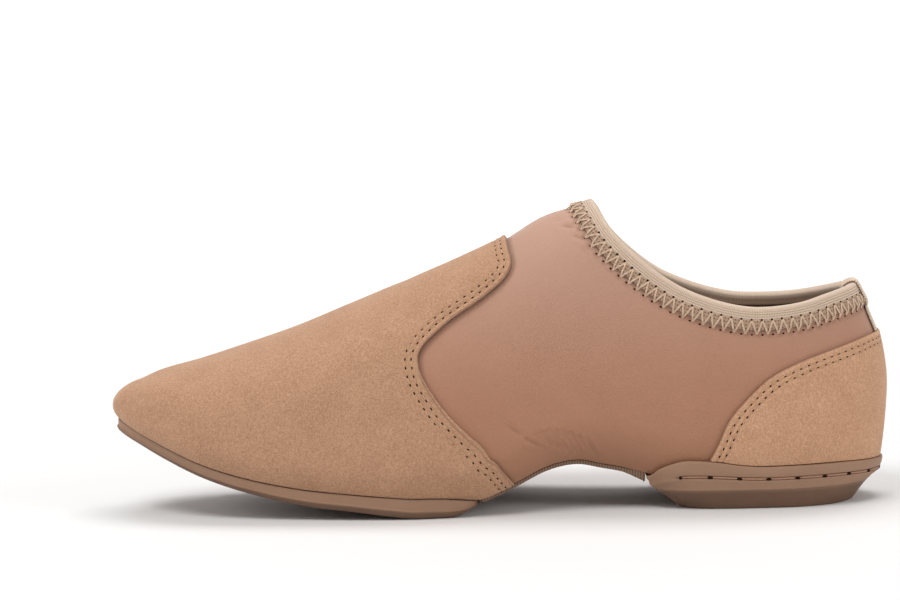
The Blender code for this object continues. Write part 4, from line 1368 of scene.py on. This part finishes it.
# %% Side of the pad
PadRing = namedtuple("PadRing", "height out")
PAD_SIDE = [PadRing(*row) for row in (
    (0.00, -7.5), (0.02, -5.2), (0.06, -3.4), (0.12, -1.8),
    (0.20, -0.5), (0.28, 0.2), (0.36, 0.6), (0.42, 0.6),
    (0.445, 0.2), (0.46, -0.8), (0.49, -0.9), (0.60, -0.8),
    (0.75, -0.8), (0.90, -0.9), (0.96, -1.1), (1.00, -2.0),
)]
print("rings of the pad:", len(PAD_SIDE))

# %% The forefoot pad
pad_front = at_of(np.linspace(0, v_of(PAD_REAR - 0.03), 130))
pad_at = np.concatenate([pad_front, np.linspace(PAD_REAR - 0.03, PAD_REAR, 34)[1:]])
loop, pairs = two_sides(pad_at, pad_edge)
share = loop[:, 0] / LENGTH + 0.5
rear_lift = PAD_THICKNESS * smooth(PAD_UNDER_REAR, "height", share)
tread = TOE_SPRING * smooth(UNDERSIDE, "spring", share) + rear_lift
rings = []
for height, out in PAD_SIDE:
    ring = outset(loop, out * PAD_BEAD)
    ring[:, 2] = tread + (loop[:, 2] - tread) * height
    rings.append(ring)
points, faces = tower(rings, pairs)
marks = {"level": spread([ring.height for ring in PAD_SIDE], len(loop), len(points))}
forefoot_pad = piece("forefoot_pad", points, faces, "rubber", "forefoot_sole", marks)

# %% [markdown]
# The heel is moulded in one: a lift that tapers towards the floor, a small step,
# a groove for its stitches and a rim that cups the counter. It is built from the
# floor up as one tower, and the rim's own outline, taken from the last, is the
# ring that all others are tapered from.

# %% Side of the heel
HEEL_STEP = 0.0005
HEEL_LIP = 0.0010
HEEL_FRONT = 0.6905
HEEL_RIM_RISE = 0.012
HEEL_TAPER_FRONT = 0.0116
HEEL_TAPER_BACK = 0.0100
HEEL_TAPER_SIDE = 0.0058
HeelRing = namedtuple("HeelRing", "height front back side")
LIFT_RINGS = [HeelRing(*row) for row in (
    (0.000, 1.04, 1.04, 1.08), (0.015, 1.01, 1.01, 1.03), (0.050, 0.97, 0.97, 0.97),
    (0.110, 0.93, 0.94, 0.93), (0.250, 0.84, 0.87, 0.84), (0.400, 0.74, 0.80, 0.74),
    (0.550, 0.63, 0.72, 0.64), (0.750, 0.50, 0.61, 0.52), (0.930, 0.35, 0.50, 0.40),
    (1.000, 0.30, 0.47, 0.36),
)]
GrooveRing = namedtuple("GrooveRing", "lift deep")
GROOVE = [GrooveRing(*row) for row in (
    (-0.62, 0.00), (-0.50, 0.05), (-0.38, 0.60), (-0.20, 1.00),
    (0.00, 1.10), (0.20, 1.00), (0.38, 0.60), (0.50, 0.05),
    (0.62, 0.00),
)]
GROOVE_WIDTH = 0.0011
GROOVE_DEPTH = 0.0008
print("rings of the lift and of the groove:", len(LIFT_RINGS), len(GROOVE))

# %% Rim and cup
def rim_height(side, at):
    """Height of the rim's top, which rises from the seat at the heel's front."""
    seat = sole_edge(side, at) - SOLE_GAP
    top = np.maximum(rim_top(along(at, HEEL_SEAT + 0 * at)), seat + 2 * GAP)
    return seat + (top - seat) * np.clip((at - HEEL_FRONT) / HEEL_RIM_RISE, 0, 1)


def rim_place(side, at, out):
    """Point beside the rim's top edge, a distance outside the form."""
    height = rim_height(side, at)
    place = layer(side, at, up_of(side, at, height), out)
    place[..., 2] = height
    return place


def cup_place(side, at, share):
    """Point on the cup's wall: share 0 at the seat and 1 at the rim."""
    height = rim_height(side, at)
    place = layer(side, at, up_of(side, at, height) * share, 1.5 * GAP)
    seat = on_edge(side, place, SOLE_GAP)[..., 2]
    place[..., 2] = seat + (height - seat) * share
    return place


print("rim at the back:", (rim_place(1, np.array(1.0), 0.002) * 1000).round(1))

# %% The rim's outline and its taper
heel_at = 1 - (1 - HEEL_FRONT) * (1 - np.linspace(0, 1, 120)) ** 1.7
heel_at = np.sort(np.concatenate([heel_at, HEEL_FRONT + np.array([0.001, 0.002, 0.003])]))
rim, pairs = two_sides(heel_at, lambda side, at: rim_place(side, at, GAP + SUEDE + HEEL_LIP))
front_x, back_x = rim[:, 0].min(), rim[:, 0].max()
widest = np.abs(rim[:, 1]).max()
backward = (rim[:, 0] - front_x) / (back_x - front_x)


def tapered(front, back, side):
    ring = rim.copy()
    ring[:, 0] += HEEL_TAPER_FRONT * front * (1 - backward) - HEEL_TAPER_BACK * back * backward**3
    ring[:, 1] *= 1 - HEEL_TAPER_SIDE * side / widest
    return ring


print("foot of the heel:", round(float(np.ptp(tapered(1, 1, 1)[:, 0])) * 1000, 1), "mm long")

# %% From the floor up to the groove
rings, levels = [], []


def add_ring(ring, height, level):
    """Put an outline on the heel's tower, with a level that tells the finish where it is."""
    ring[:, 2] = height
    rings.append(ring)
    levels.append(level)


for height, *tapers in LIFT_RINGS:
    add_ring(tapered(*tapers), HEEL_LIFT * height, height)
for out, lift in ((0.5, 0.15), (1.0, 0.45), (1.0, 0.8)):
    add_ring(outset(tapered(*tapers), HEEL_STEP * out), HEEL_LIFT + HEEL_STEP * lift, 1.1)
base_z = HEEL_LIFT + HEEL_STEP
groove_z = base_z + (rim[:, 2] - base_z) * 0.45
fade = np.clip((backward - 0.10) / 0.03, 0, 1)
for place in (0.25, 0.5, 0.75):
    blended = [low + (0.10 - low) * place for low in tapers]
    ring = outset(tapered(*blended), HEEL_STEP * (1 - place))
    add_ring(ring, base_z + (groove_z - GROOVE_WIDTH * 0.65 - base_z) * place, 1.2)
for lift, deep in GROOVE:
    ring = outset(tapered(*[0.08 - 0.02 * lift] * 3), -GROOVE_DEPTH * deep * fade)
    add_ring(ring, groove_z + GROOVE_WIDTH * lift, 1.5)
print("rings so far:", len(rings))

# %% From the groove over the rim into the cup
groove_ring = outset(tapered(0.08, 0.08, 0.08), -GROOVE_DEPTH * 0.6)
groove_ring[:, 2] = groove_z
for place in (0.3, 0.6, 0.85):
    ring = outset(tapered(*[0.06 * (1 - place)] * 3), 0.00012 * math.sin(math.pi * place))
    low_z = groove_z + GROOVE_WIDTH * 0.65
    add_ring(ring, low_z + (rim[:, 2] - HEEL_LIP / 2 - low_z) * place, 1.8)
for turn in np.linspace(0, math.pi / 2, 6):
    ring = outset(rim, -HEEL_LIP * 0.55 * (1 - math.cos(turn)))
    add_ring(ring, rim[:, 2] - HEEL_LIP / 2 * (1 - math.sin(turn)), 2.0)
for share in (1, 0.5, 0):
    ring, _ = two_sides(heel_at, lambda side, at: cup_place(side, at, share))
    nose = np.clip(1 - backward / 0.02, 0, 1)
    before = sole_edge(np.sign(ring[:, 1]), at_edge(ring[:, 0]))
    ring[:, 0] += nose * HEEL_LIP * (2 - share)
    after = sole_edge(np.sign(ring[:, 1]), at_edge(ring[:, 0]))
    add_ring(ring, ring[:, 2] + (after - before), 2.2)
points, faces = tower(rings, pairs)
marks = {"level": spread(levels, len(rim), len(points))}
moulded_heel = piece("moulded_heel", points, faces, "rubber", "heel", marks)

# %% [markdown]
# Long stitches hold the heel: in the groove a doubled thread dives into the
# rubber every centimetre, and a dark pit of painted shade shows where it does.
# The thread is a row of tubes that thin towards their ends.

# %% Line of the groove
HEEL_STITCH_PITCH = 0.0095
HEEL_STITCH_LIFT = 0.00028
HEEL_STITCH_DIVE = 0.00065
HEEL_THREAD_RADIUS = 0.00032
half_count = len(heel_at)
groove_points = np.concatenate([groove_ring[:half_count], groove_ring[half_count:]])
first = int(np.argmax(backward[:half_count] > 0.125))
groove_points = groove_points[first:len(groove_points) - first]
groove_facing = unit(outset(groove_points, 0.001) - groove_points)
print("groove:", round(arc(groove_points)[-1] * 1000), "mm long")

# %% Long stitches in the groove
count = int(arc(groove_points)[-1] / HEEL_STITCH_PITCH)
pitch = arc(groove_points)[-1] / count
t = np.linspace(0, 1, 21)
distance = (np.arange(count)[:, None] + t) * pitch
spots, up = on_line(groove_points, groove_facing, distance)
rise = HEEL_STITCH_LIFT - HEEL_STITCH_DIVE * np.abs(2 * t - 1) ** 9
thinned = HEEL_THREAD_RADIUS * (1 - 0.45 * np.abs(2 * t - 1) ** 6)
thread = tubes(spots + up * rise[:, None], up, thinned, 7)
heel_stitches = piece("heel_stitches", *thread, "binding", flip=False)

# %% Pits between the long stitches
PIT_HALF_LENGTH = 0.0011
PIT_RADIUS = 0.00042
PIT_RISE = 0.00024
PIT_DROP = 0.00012
anchor_spots, anchor_up = on_line(groove_points, groove_facing, np.arange(count + 1) * pitch)
wide = np.linspace(-1, 1, 9)
anchor_course = unit(np.cross(anchor_up, np.array([0, 0, 1.0])))
anchor_path = anchor_spots[:, None] + anchor_course[:, None] * wide[:, None] * PIT_HALF_LENGTH
anchor_path = anchor_path + anchor_up[:, None] * PIT_RISE
anchor_path[..., 2] -= PIT_DROP
anchor_facing = np.broadcast_to(anchor_up[:, None], anchor_path.shape)
pit = tubes(anchor_path, anchor_facing, PIT_RADIUS * (1 - wide**2) ** 0.7 + 0.00003, 7)
heel_holes = piece("heel_holes", *pit, "rubber", flip=False)

# %% [markdown]
# Between pad and heel a thin strip closes the underside of the arch. It thickens
# a little at its rear, where it runs into the heel. A flat strip bent by a
# modifier would do; the same tower as the pad's meets both neighbours exactly.

# %% The arch strip
STRIP_THICKNESS = 0.0012
STRIP_END_THICKNESS = 0.0026
strip_front = PAD_REAR + (PAD_BEAD + GAP) / LENGTH
strip_rear = float(at_edge(front_x - GAP))


def strip_edge(side, at):
    half, _, _, foot, _, _ = section(side, at)
    return on_edge(side, np.stack([along(at, 0 * at), side * half * foot, 0 * at], axis=-1), SOLE_GAP)


strip_at = np.linspace(strip_front, strip_rear, 110)
loop, pairs = two_sides(strip_at, strip_edge)
end = np.clip((loop[:, 0] / LENGTH + 0.5 - strip_rear) / 0.035 + 1, 0, 1)
thickness = STRIP_THICKNESS + (STRIP_END_THICKNESS - STRIP_THICKNESS) * end**2 * (3 - 2 * end)
rings = []
for share, out in ((1, -0.55), (0.93, -0.25), (0.8, -0.05), (0.6, 0), (0.3, 0), (-0.2, 0)):
    ring = outset(loop, STRIP_THICKNESS * out)
    ring[:, 0] = np.clip(ring[:, 0], loop[:, 0].min(), loop[:, 0].max())
    ring[:, 2] = loop[:, 2] - thickness * share
    rings.append(ring)
arch_tape = piece("arch_tape", *tower(rings, pairs), "strip", "arch_strip")

# %% [markdown]
# The insole closes the shell from inside, and through the collar it is all that
# shows of the bottom. A plain sheet would show a sharp rim from above, so it is
# a low tower whose upper edge is rounded.

# %% The insole
INSOLE_THICKNESS = 0.0022
INSOLE_TOE = 0.030


def insole_edge(side, at):
    place = layer(side, at, 0 * at, -(SHELL_WALL + GAP))
    place[..., 1] *= rounded((at - INSOLE_TOE) / INSOLE_TOE)
    return on_edge(side, place, 0)


swing = 0.5 - 0.5 * np.cos(math.pi * np.linspace(0, 1, 130))
insole_at = INSOLE_TOE + (1 - INSOLE_TOE) * swing
loop, pairs = two_sides(insole_at, insole_edge)
rings = []
for rise, out in ((0, 0), (0.5, 0), (0.85, -0.0001), (1.0, -0.0005)):
    ring = outset(loop, out)
    ring[:, 2] += INSOLE_THICKNESS * rise
    rings.append(ring)
sock_insole = piece("sock_insole", *tower(rings, pairs), "lining", "insole")

# %% [markdown]
# Suede is leather brushed to a short nap. Seen closely it is a fine speckle of
# lighter and darker tufts, broader cloudy patches where the nap lies in other
# directions, and a pale bloom where the surface turns away. Hair particles
# would be too heavy for a nap this short. The speckle comes from noises of two
# sizes, the bloom from the shader's sheen.

# %% Suede
NAP_SIZE = 0.00045
TUFT_SIZE = 0.00080
PATCH_SIZE = 0.011
NAP_DEPTH = 0.00028
PATCH_DEPTH = 0.0012


def suede_finish(name, dark, pale):
    bloom = {"sheen_weight": 0.35, "sheen_roughness": 0.45, "sheen_tint": (0.95, 0.75, 0.60, 1)}
    made = Finish(name, 0.95, specular_ior_level=0.15, **bloom)
    fine = made.noise(NAP_SIZE, 2, 0.7)
    tufts = made.noise(TUFT_SIZE, 3, 0.6, stretch=(1.2, 1.0, 0.75))
    patches = made.noise(PATCH_SIZE, 2, 0.5)
    mix = (fine - 0.5) * 1.30 + (tufts - 0.5) * 0.60 + (patches - 0.5) * 0.25 + 0.5
    mix = mix.between(0.18, 0.86)
    edge = made.mark("edge")
    sunk = edge.near(2.05, 0.5) + edge.near(3.95, 0.5)
    # Painted shade darkens the two sunk stitch rows and the last half millimetre at the cut edge.
    colour = made.layered(
        made.colours(mix, dark, pale),
        (sunk * 0.22, tuple(c * 0.55 for c in dark)),
        ((1 - edge.between(0.0, 0.45)) * 0.45, tuple(c * 0.5 for c in dark)),
    )
    nap = made.bump(fine * 0.5 + tufts, NAP_DEPTH, 0.75)
    relief = made.bump(patches, PATCH_DEPTH, 0.35, nap)
    made.feed(base_color=colour, roughness=0.98 - mix * 0.08, normal=relief)
    return made


SUEDE_DARK = (0.360, 0.196, 0.118)
SUEDE_PALE = (0.560, 0.330, 0.205)
# The counter's suede is a lighter copy of the forepart's: painted light for the brighter light on the heel.
COUNTER_LIT_DARK = (0.440, 0.238, 0.138)
COUNTER_LIT_PALE = (0.660, 0.390, 0.245)
suede_finish("vamp_suede", SUEDE_DARK, SUEDE_PALE).on(suede_vamp)
suede_finish("lit_counter_suede", COUNTER_LIT_DARK, COUNTER_LIT_PALE).on(suede_counter)

# %% [markdown]
# The stretch cloth is a fine knit with a soft, slightly pink face. Its grain is
# half a millimetre, so it is only bump and a faint change of tone. Below the
# binding the zigzag seam draws it into small puckers, which follow the marks
# for the distance round the collar and the depth below it.

# %% Knit and grain of the cloth
bloom = {"sheen_weight": 0.40, "sheen_roughness": 0.35, "sheen_tint": (1.0, 0.92, 0.88, 1)}
cloth = Finish("stretch_cloth", 0.62, specular_ior_level=0.30, **bloom)
along_x, along_y, height = [cloth.axis(number) for number in range(3)]
courses = (along_x + height * 0.7 + along_y * 0.5).wave(0.00052)
wales = (along_x * 0.5 - height + along_y * 0.8).wave(0.00060)
knit = courses * wales
grain = cloth.noise(0.00055, 2, 0.7)
clouds = cloth.noise(0.016, 2, 0.5)
below = cloth.mark("below")
around = cloth.mark("around")
pucker = (around - zigzag_step * 250).wave(zigzag_step * 1000) * below.near(8.2, 1.5)
print("a pucker every", round(zigzag_step * 1000, 2), "mm")

# %% Colours of the cloth
CLOTH_DARK = (0.350, 0.162, 0.094)
CLOTH_PALE = (0.465, 0.235, 0.150)
INSTEP_PAINTED_HIGHLIGHT = (0.535, 0.348, 0.265)
ARCH_PAINTED_SHADE = (0.355, 0.175, 0.095)
PUCKER_PAINTED_SHADE = (0.250, 0.120, 0.075)
FOLD_PAINTED_SHADE = (0.210, 0.100, 0.062)
SEAM_SHADE = (0.160, 0.075, 0.045)
tone = (grain - 0.5) * 0.9 + (clouds - 0.5) * 0.4 + 0.5
fold = cloth.mark("fold").between(0.05, 0.40)
shaded = 1 - cloth.mark("behind").between(0.6, 2.2)
outer = cloth.layered(
    cloth.colours(tone, CLOTH_DARK, CLOTH_PALE),
    # Painted highlight: the cloth is lighter higher up, where the light falls from above.
    (height.between(0.030, 0.095) * 0.55, INSTEP_PAINTED_HIGHLIGHT),
    # Painted shade: the cloth is darker low down, where it turns under towards the arch.
    ((1 - height.between(0.012, 0.036)) * 0.55, ARCH_PAINTED_SHADE),
    # Painted shade in the troughs of the puckers below the binding.
    (pucker * 0.22, PUCKER_PAINTED_SHADE),
    # Painted shade in the troughs of the creases.
    (fold * 0.50, FOLD_PAINTED_SHADE),
    (shaded * 0.45, SEAM_SHADE),
)
print("nodes of the cloth so far:", len(cloth.wire.tree.nodes))

# %% The cloth on the upper
# The lining's brown is darkened with painted shade for the shadow inside the shoe.
lining_brown_and_shade = cloth.colours(cloth.noise(0.0007, 2), (0.120, 0.062, 0.040), (0.200, 0.110, 0.070))
fine = cloth.bump(knit * 0.5 + grain * 0.9, 0.00014, 0.6)
cloth.feed(
    base_color=cloth.colours(cloth.mark("inside"), outer, lining_brown_and_shade),
    roughness=0.58 + grain * 0.12,
    normal=cloth.bump(1 - pucker, 0.0005, 0.7, fine),
)
cloth.on(stretch_upper)

# %% [markdown]
# The elastic is woven from pale cords over a brown ground. Near the rolled edge
# the cords run round the collar, and below them crosswise threads leave small
# gaps between them, darkened with painted shade. The tape on the back seam
# shares the finish but has cross ribs of its own.

# %% Elastic and tape
def woven_band(made, colour, relief, spot):
    """The binding's weave: ribs by the rolled edge, gaps below them, a brown inside, and painted shade."""
    depth = made.mark("depth")
    within = made.mark("inside")
    lower = depth.between(3.0, 3.5) * (1 - within)
    rows = (depth.wave(1.15) * spot.wave(1.07)).between(0.42, 0.75) * lower
    ribs = (depth * (2 * math.pi / 0.78) - 8.86).maths("COSINE").between(-0.95, -0.2)
    ribs = (1 - ribs) * (1 - lower) * depth.between(0.5, 0.8)
    colour = made.layered(
        colour,
        # A darker lower band: partly the band's own ground, partly painted shade beside the zigzag legs.
        (lower * 0.65, (0.330, 0.185, 0.110)),
        # Painted shade in the gaps between the crosswise threads.
        (rows * 0.70, (0.110, 0.060, 0.035)),
        # Painted shade in the troughs between the ribs.
        (ribs * 0.45, (0.230, 0.135, 0.080)),
        # Painted shadow along the band's lower edge.
        (depth.between(6.35, 6.7) * 0.85, (0.090, 0.040, 0.026)),
        (within * depth.between(0.5, 1.1) * 0.65, (0.300, 0.170, 0.105)),
        (within * depth.near(2.0, 0.35) * 0.5, (0.520, 0.350, 0.240)),
        # Painted shade deeper inside the shoe.
        (within * depth.between(2.5, 3.0), (0.070, 0.034, 0.022)),
    )
    return colour, relief - rows * 1.2


def elastic_finish(name, spot_mark, pitch, with_gaps):
    made = Finish(name, 0.75, sheen_weight=0.25, sheen_roughness=0.4, specular_ior_level=0.25)
    spot = made.mark(spot_mark)
    grain = made.noise(0.00025, 2, 0.6)
    cords = spot.wave(pitch)
    pale = made.colours(grain, (0.600, 0.445, 0.330), (0.810, 0.660, 0.530))
    colour = made.colours((1 - cords) * 0.30, pale, (0.330, 0.200, 0.120))
    relief = cords * 0.7 + grain * 0.5
    if with_gaps:
        colour, relief = woven_band(made, colour, relief, spot)
    made.feed(base_color=colour, roughness=0.70 + grain * 0.15, normal=made.bump(relief, 0.00016, 0.8))
    return made


elastic_finish("ribbed_elastic", "around", 0.53, True).on(elastic_binding)
elastic_finish("ribbed_tape", "spot", 0.85, False).on(seam_tape)

# %% [markdown]
# All threads share one finish: two tones twisted together with a little sheen.
# Modelled plies would never show at this size. The holes that they dive into
# are painted shade: plain dark brown, without any gloss.

# %% Threads and needle holes
def thread_finish(name, dark, pale):
    made = Finish(name, 0.6, sheen_weight=0.2, specular_ior_level=0.3)
    twist = made.noise(0.00022, 2, 0.6, stretch=(1, 1, 0.6))
    colour = made.colours(twist.between(0.3, 0.7), dark, pale)
    made.feed(base_color=colour, roughness=0.55 + twist * 0.2, normal=made.bump(twist, 0.00008, 0.6))
    return made


thread_finish("zigzag_thread", (0.560, 0.375, 0.245), (0.800, 0.615, 0.460)).on(zigzag_thread)
thread_finish("suede_thread", (0.420, 0.235, 0.120), (0.640, 0.400, 0.225)).on(suede_stitches)
thread_finish("heel_thread", (0.300, 0.150, 0.092), (0.480, 0.262, 0.168)).on(heel_stitches)
# Painted shade for the inside of every hole and pit.
hole_shade_colour = (0.022, 0.009, 0.005, 1)
hole_shade = Finish("hole_shade", 1.0, base_color=hole_shade_colour, specular_ior_level=0.0)
hole_shade.on(needle_holes, zigzag_pits, heel_holes)

# %% [markdown]
# The rubber is moulded in a warm brown with a satin skin. Its side band is
# painted lighter than the rounded foot below it, which is darker partly from
# scuffs and partly from painted shade, as it turns down. The tread under the pad
# and the heel is a fine pebble, made with bump because it is shallower than a
# tenth of a millimetre.

# %% Rubber
PEBBLE_PITCH = 0.0022


def rubber_finish(name, steps):
    made = Finish(name, 0.5, specular_ior_level=0.42)
    level = made.mark("level")
    speckle = made.noise(0.0006, 3, 0.6)
    clouds = made.noise(0.014, 3, 0.5)
    tone = (speckle - 0.5) * 0.4 + (clouds - 0.5) * 0.5 + 0.5
    side = made.colours(tone, (0.265, 0.150, 0.092), (0.385, 0.232, 0.148))
    # The lower rubber is darker, partly from scuffs and partly from painted shade where it turns down.
    lower = made.colours(clouds, (0.125, 0.066, 0.038), (0.200, 0.110, 0.067))
    above = level.between(*steps)
    pebble = made.axis(0).wave(PEBBLE_PITCH) * made.axis(1).wave(PEBBLE_PITCH)
    pebble = pebble * (1 - level.between(0.0, 0.04))
    relief = made.bump(pebble, 0.0004, 0.6, made.bump(speckle, 0.00012, 0.5))
    colour = made.colours(above, lower, side)
    made.feed(base_color=colour, roughness=0.42 + speckle * 0.16 + above * 0.10, normal=relief)
    return made


rubber_finish("pad_rubber", (0.30, 0.47)).on(forefoot_pad)
rubber_finish("heel_rubber", (0.80, 1.15)).on(moulded_heel)

# %% [markdown]
# The strip is a tape with fine cross ribs, one wave along the shoe. Its brown is
# partly darkened with painted shade from the arch above. The insole is a dull
# brown cloth, darkened with painted shade for the shadow inside the shoe.

# %% The strip
strip = Finish("arch_tape", 0.85, specular_ior_level=0.2)
ticks = strip.axis(0).wave(0.0009)
weave = strip.noise(0.0003, 2)
tone = ticks * 0.6 + weave * 0.4
# Partly the strip's own brown, partly painted shade from the arch above it.
colour = strip.colours(tone, (0.120, 0.072, 0.046), (0.340, 0.225, 0.155))
strip.feed(base_color=colour, normal=strip.bump(ticks + weave * 0.4, 0.00018, 0.8))
strip.on(arch_tape)

# %% The insole's cloth
sock = Finish("insole_cloth", 0.9, sheen_weight=0.3, specular_ior_level=0.15)
weave = sock.noise(0.0005, 3)
clouds = sock.noise(0.02, 2)
tone = weave * 0.6 + clouds * 0.4
# The insole's brown is darkened with painted shade for the shadow inside the shoe.
colour = sock.colours(tone, (0.110, 0.058, 0.036), (0.200, 0.112, 0.072))
sock.feed(base_color=colour, normal=sock.bump(weave, 0.0002, 0.6))
sock.on(sock_insole)

# %% [markdown]
# The shoe is seen square from its inner side, from a little above, with a long
# lens that hardly shows perspective and a slight roll. It could be placed by
# eye, but worked out from the picture's scale and from the point of the shoe
# that lies on one pixel, it changes as a whole when one of them does.

# %% Where the camera looks
AZIMUTH = 0.0
ELEVATION = math.radians(6.5)
ROLL = math.radians(1.13)
DISTANCE = 1.5
METRES_PER_PIXEL = 0.0003316
TARGET = np.array([AXIS_X, AXIS_Y, 0.0485])
TARGET_PIXEL = (499, 357)
PICTURE = (900, 600)
level = math.cos(ELEVATION)
ahead = np.array([-math.sin(AZIMUTH) * level, math.cos(AZIMUTH) * level, -math.sin(ELEVATION)])
level_right = np.array([math.cos(AZIMUTH), math.sin(AZIMUTH), 0])
level_up = np.cross(level_right, ahead)
right = math.cos(ROLL) * level_right - math.sin(ROLL) * level_up
upright = math.sin(ROLL) * level_right + math.cos(ROLL) * level_up
eye = TARGET - DISTANCE * ahead
eye = eye - (TARGET_PIXEL[0] - PICTURE[0] / 2) * METRES_PER_PIXEL * right
eye = eye + (TARGET_PIXEL[1] - PICTURE[1] / 2) * METRES_PER_PIXEL * upright
print("the camera stands at", eye.round(3))

# %% The camera
lens_data = bpy.data.cameras.new("camera")
lens_data.sensor_width = 36
lens_data.lens = 36 * DISTANCE / METRES_PER_PIXEL / PICTURE[0]
lens_data.clip_start, lens_data.clip_end = 0.05, 50
camera = bpy.data.objects.new("camera", lens_data)
turned = np.stack([right, upright, -ahead], axis=1)
camera.matrix_world = Matrix.Translation(Vector(eye)) @ Matrix(turned.tolist()).to_4x4()
bpy.context.scene.collection.objects.link(camera)
bpy.context.scene.camera = camera
print("lens", round(lens_data.lens, 1), "mm")

# %% [markdown]
# The floor is pale paper that curves up far behind the shoe, so that no horizon
# shows. Lights alone would leave its far part grey, so it glows a little there,
# away from the shoe, where it casts nothing on it.

# %% The floor
def floor_points(depth=6.0, rise=4.0, width=8.0, bend=1.6):
    turn = np.linspace(0, math.pi / 2, 16)
    back = [(depth + bend * math.sin(t), bend * (1 - math.cos(t))) for t in turn]
    line = [(-6.0, 0.0), (0.0, 0.0), *back, (depth + bend, bend + rise)]
    return np.array([[(x, y, z) for y, z in line] for x in (-width, width)])


grid = floor_points()
ids = np.arange(grid[..., 0].size).reshape(grid.shape[:2])
floor_mesh = bpy.data.meshes.new("floor")
floor_mesh.from_pydata(grid.reshape(-1, 3).tolist(), [], grid_faces(ids))
floor = bpy.data.objects.new("floor", floor_mesh)
bpy.context.scene.collection.objects.link(floor)
for face in floor_mesh.polygons:
    face.use_smooth = True
pale = (0.80, 0.80, 0.80, 1)
paper = Finish("pale_paper", 0.9, base_color=pale, specular_ior_level=0.1, emission_strength=0.7)
far_off = paper.axis(1).between(0.15, 1.6)
paper.feed(emission_color=paper.colours(far_off, (0.0, 0.0, 0.0), (1.0, 1.0, 1.0)))
floor_mesh.materials.append(paper.material)
floor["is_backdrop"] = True
print("floor points", len(floor_mesh.vertices))

# %% [markdown]
# A key light stands high on the toe's side, one more hangs behind and above for
# the soft gleam on the instep, and two weaker ones light toe and heel from
# their own sides. A picture of a studio could light it all at once, but four
# plain lights are easier to learn from. The dim room keeps the shadows open.

# %% Lights and the room
def soft_light(name, place, size, power, tint=(1, 1, 1)):
    data = bpy.data.lights.new(name, "AREA")
    data.shape = "RECTANGLE"
    data.size, data.size_y = size
    data.energy = power
    data.color = tint
    made = bpy.data.objects.new(name, data)
    made.location = place
    made.rotation_euler = (Vector((0, 0, 0.05)) - Vector(place)).to_track_quat("-Z", "Y").to_euler()
    bpy.context.scene.collection.objects.link(made)
    return made


soft_light("key", (-0.7, -0.9, 1.8), (1.1, 0.8), 18, (1.0, 0.985, 0.965))
soft_light("fill", (1.6, -1.0, 0.8), (0.9, 0.9), 12, (1.0, 0.99, 0.98))
soft_light("top", (0.1, 0.6, 1.7), (1.4, 0.8), 17)
soft_light("toe side", (-1.7, -0.5, 0.9), (0.9, 0.9), 8, (1.0, 0.99, 0.98))
world = bpy.data.worlds.new("bright_room")
world.use_nodes = True
world.node_tree.nodes["Background"].inputs["Color"].default_value = (1, 1, 1, 1)
world.node_tree.nodes["Background"].inputs["Strength"].default_value = 0.30
bpy.context.scene.world = world
bpy.context.scene.view_settings.view_transform = "Standard"
print("lights", [o.name for o in bpy.context.scene.objects if o.type == "LIGHT"])

# %% [markdown]
# At the end the box of the dressed shoe is printed beside the box of the solids,
# so that both can be compared.

# %% The two boxes
scene_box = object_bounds()
for name, box in (("solids", solid_box), ("scene", scene_box)):
    print(name, [[round(x, 4) for x in corner] for corner in box])
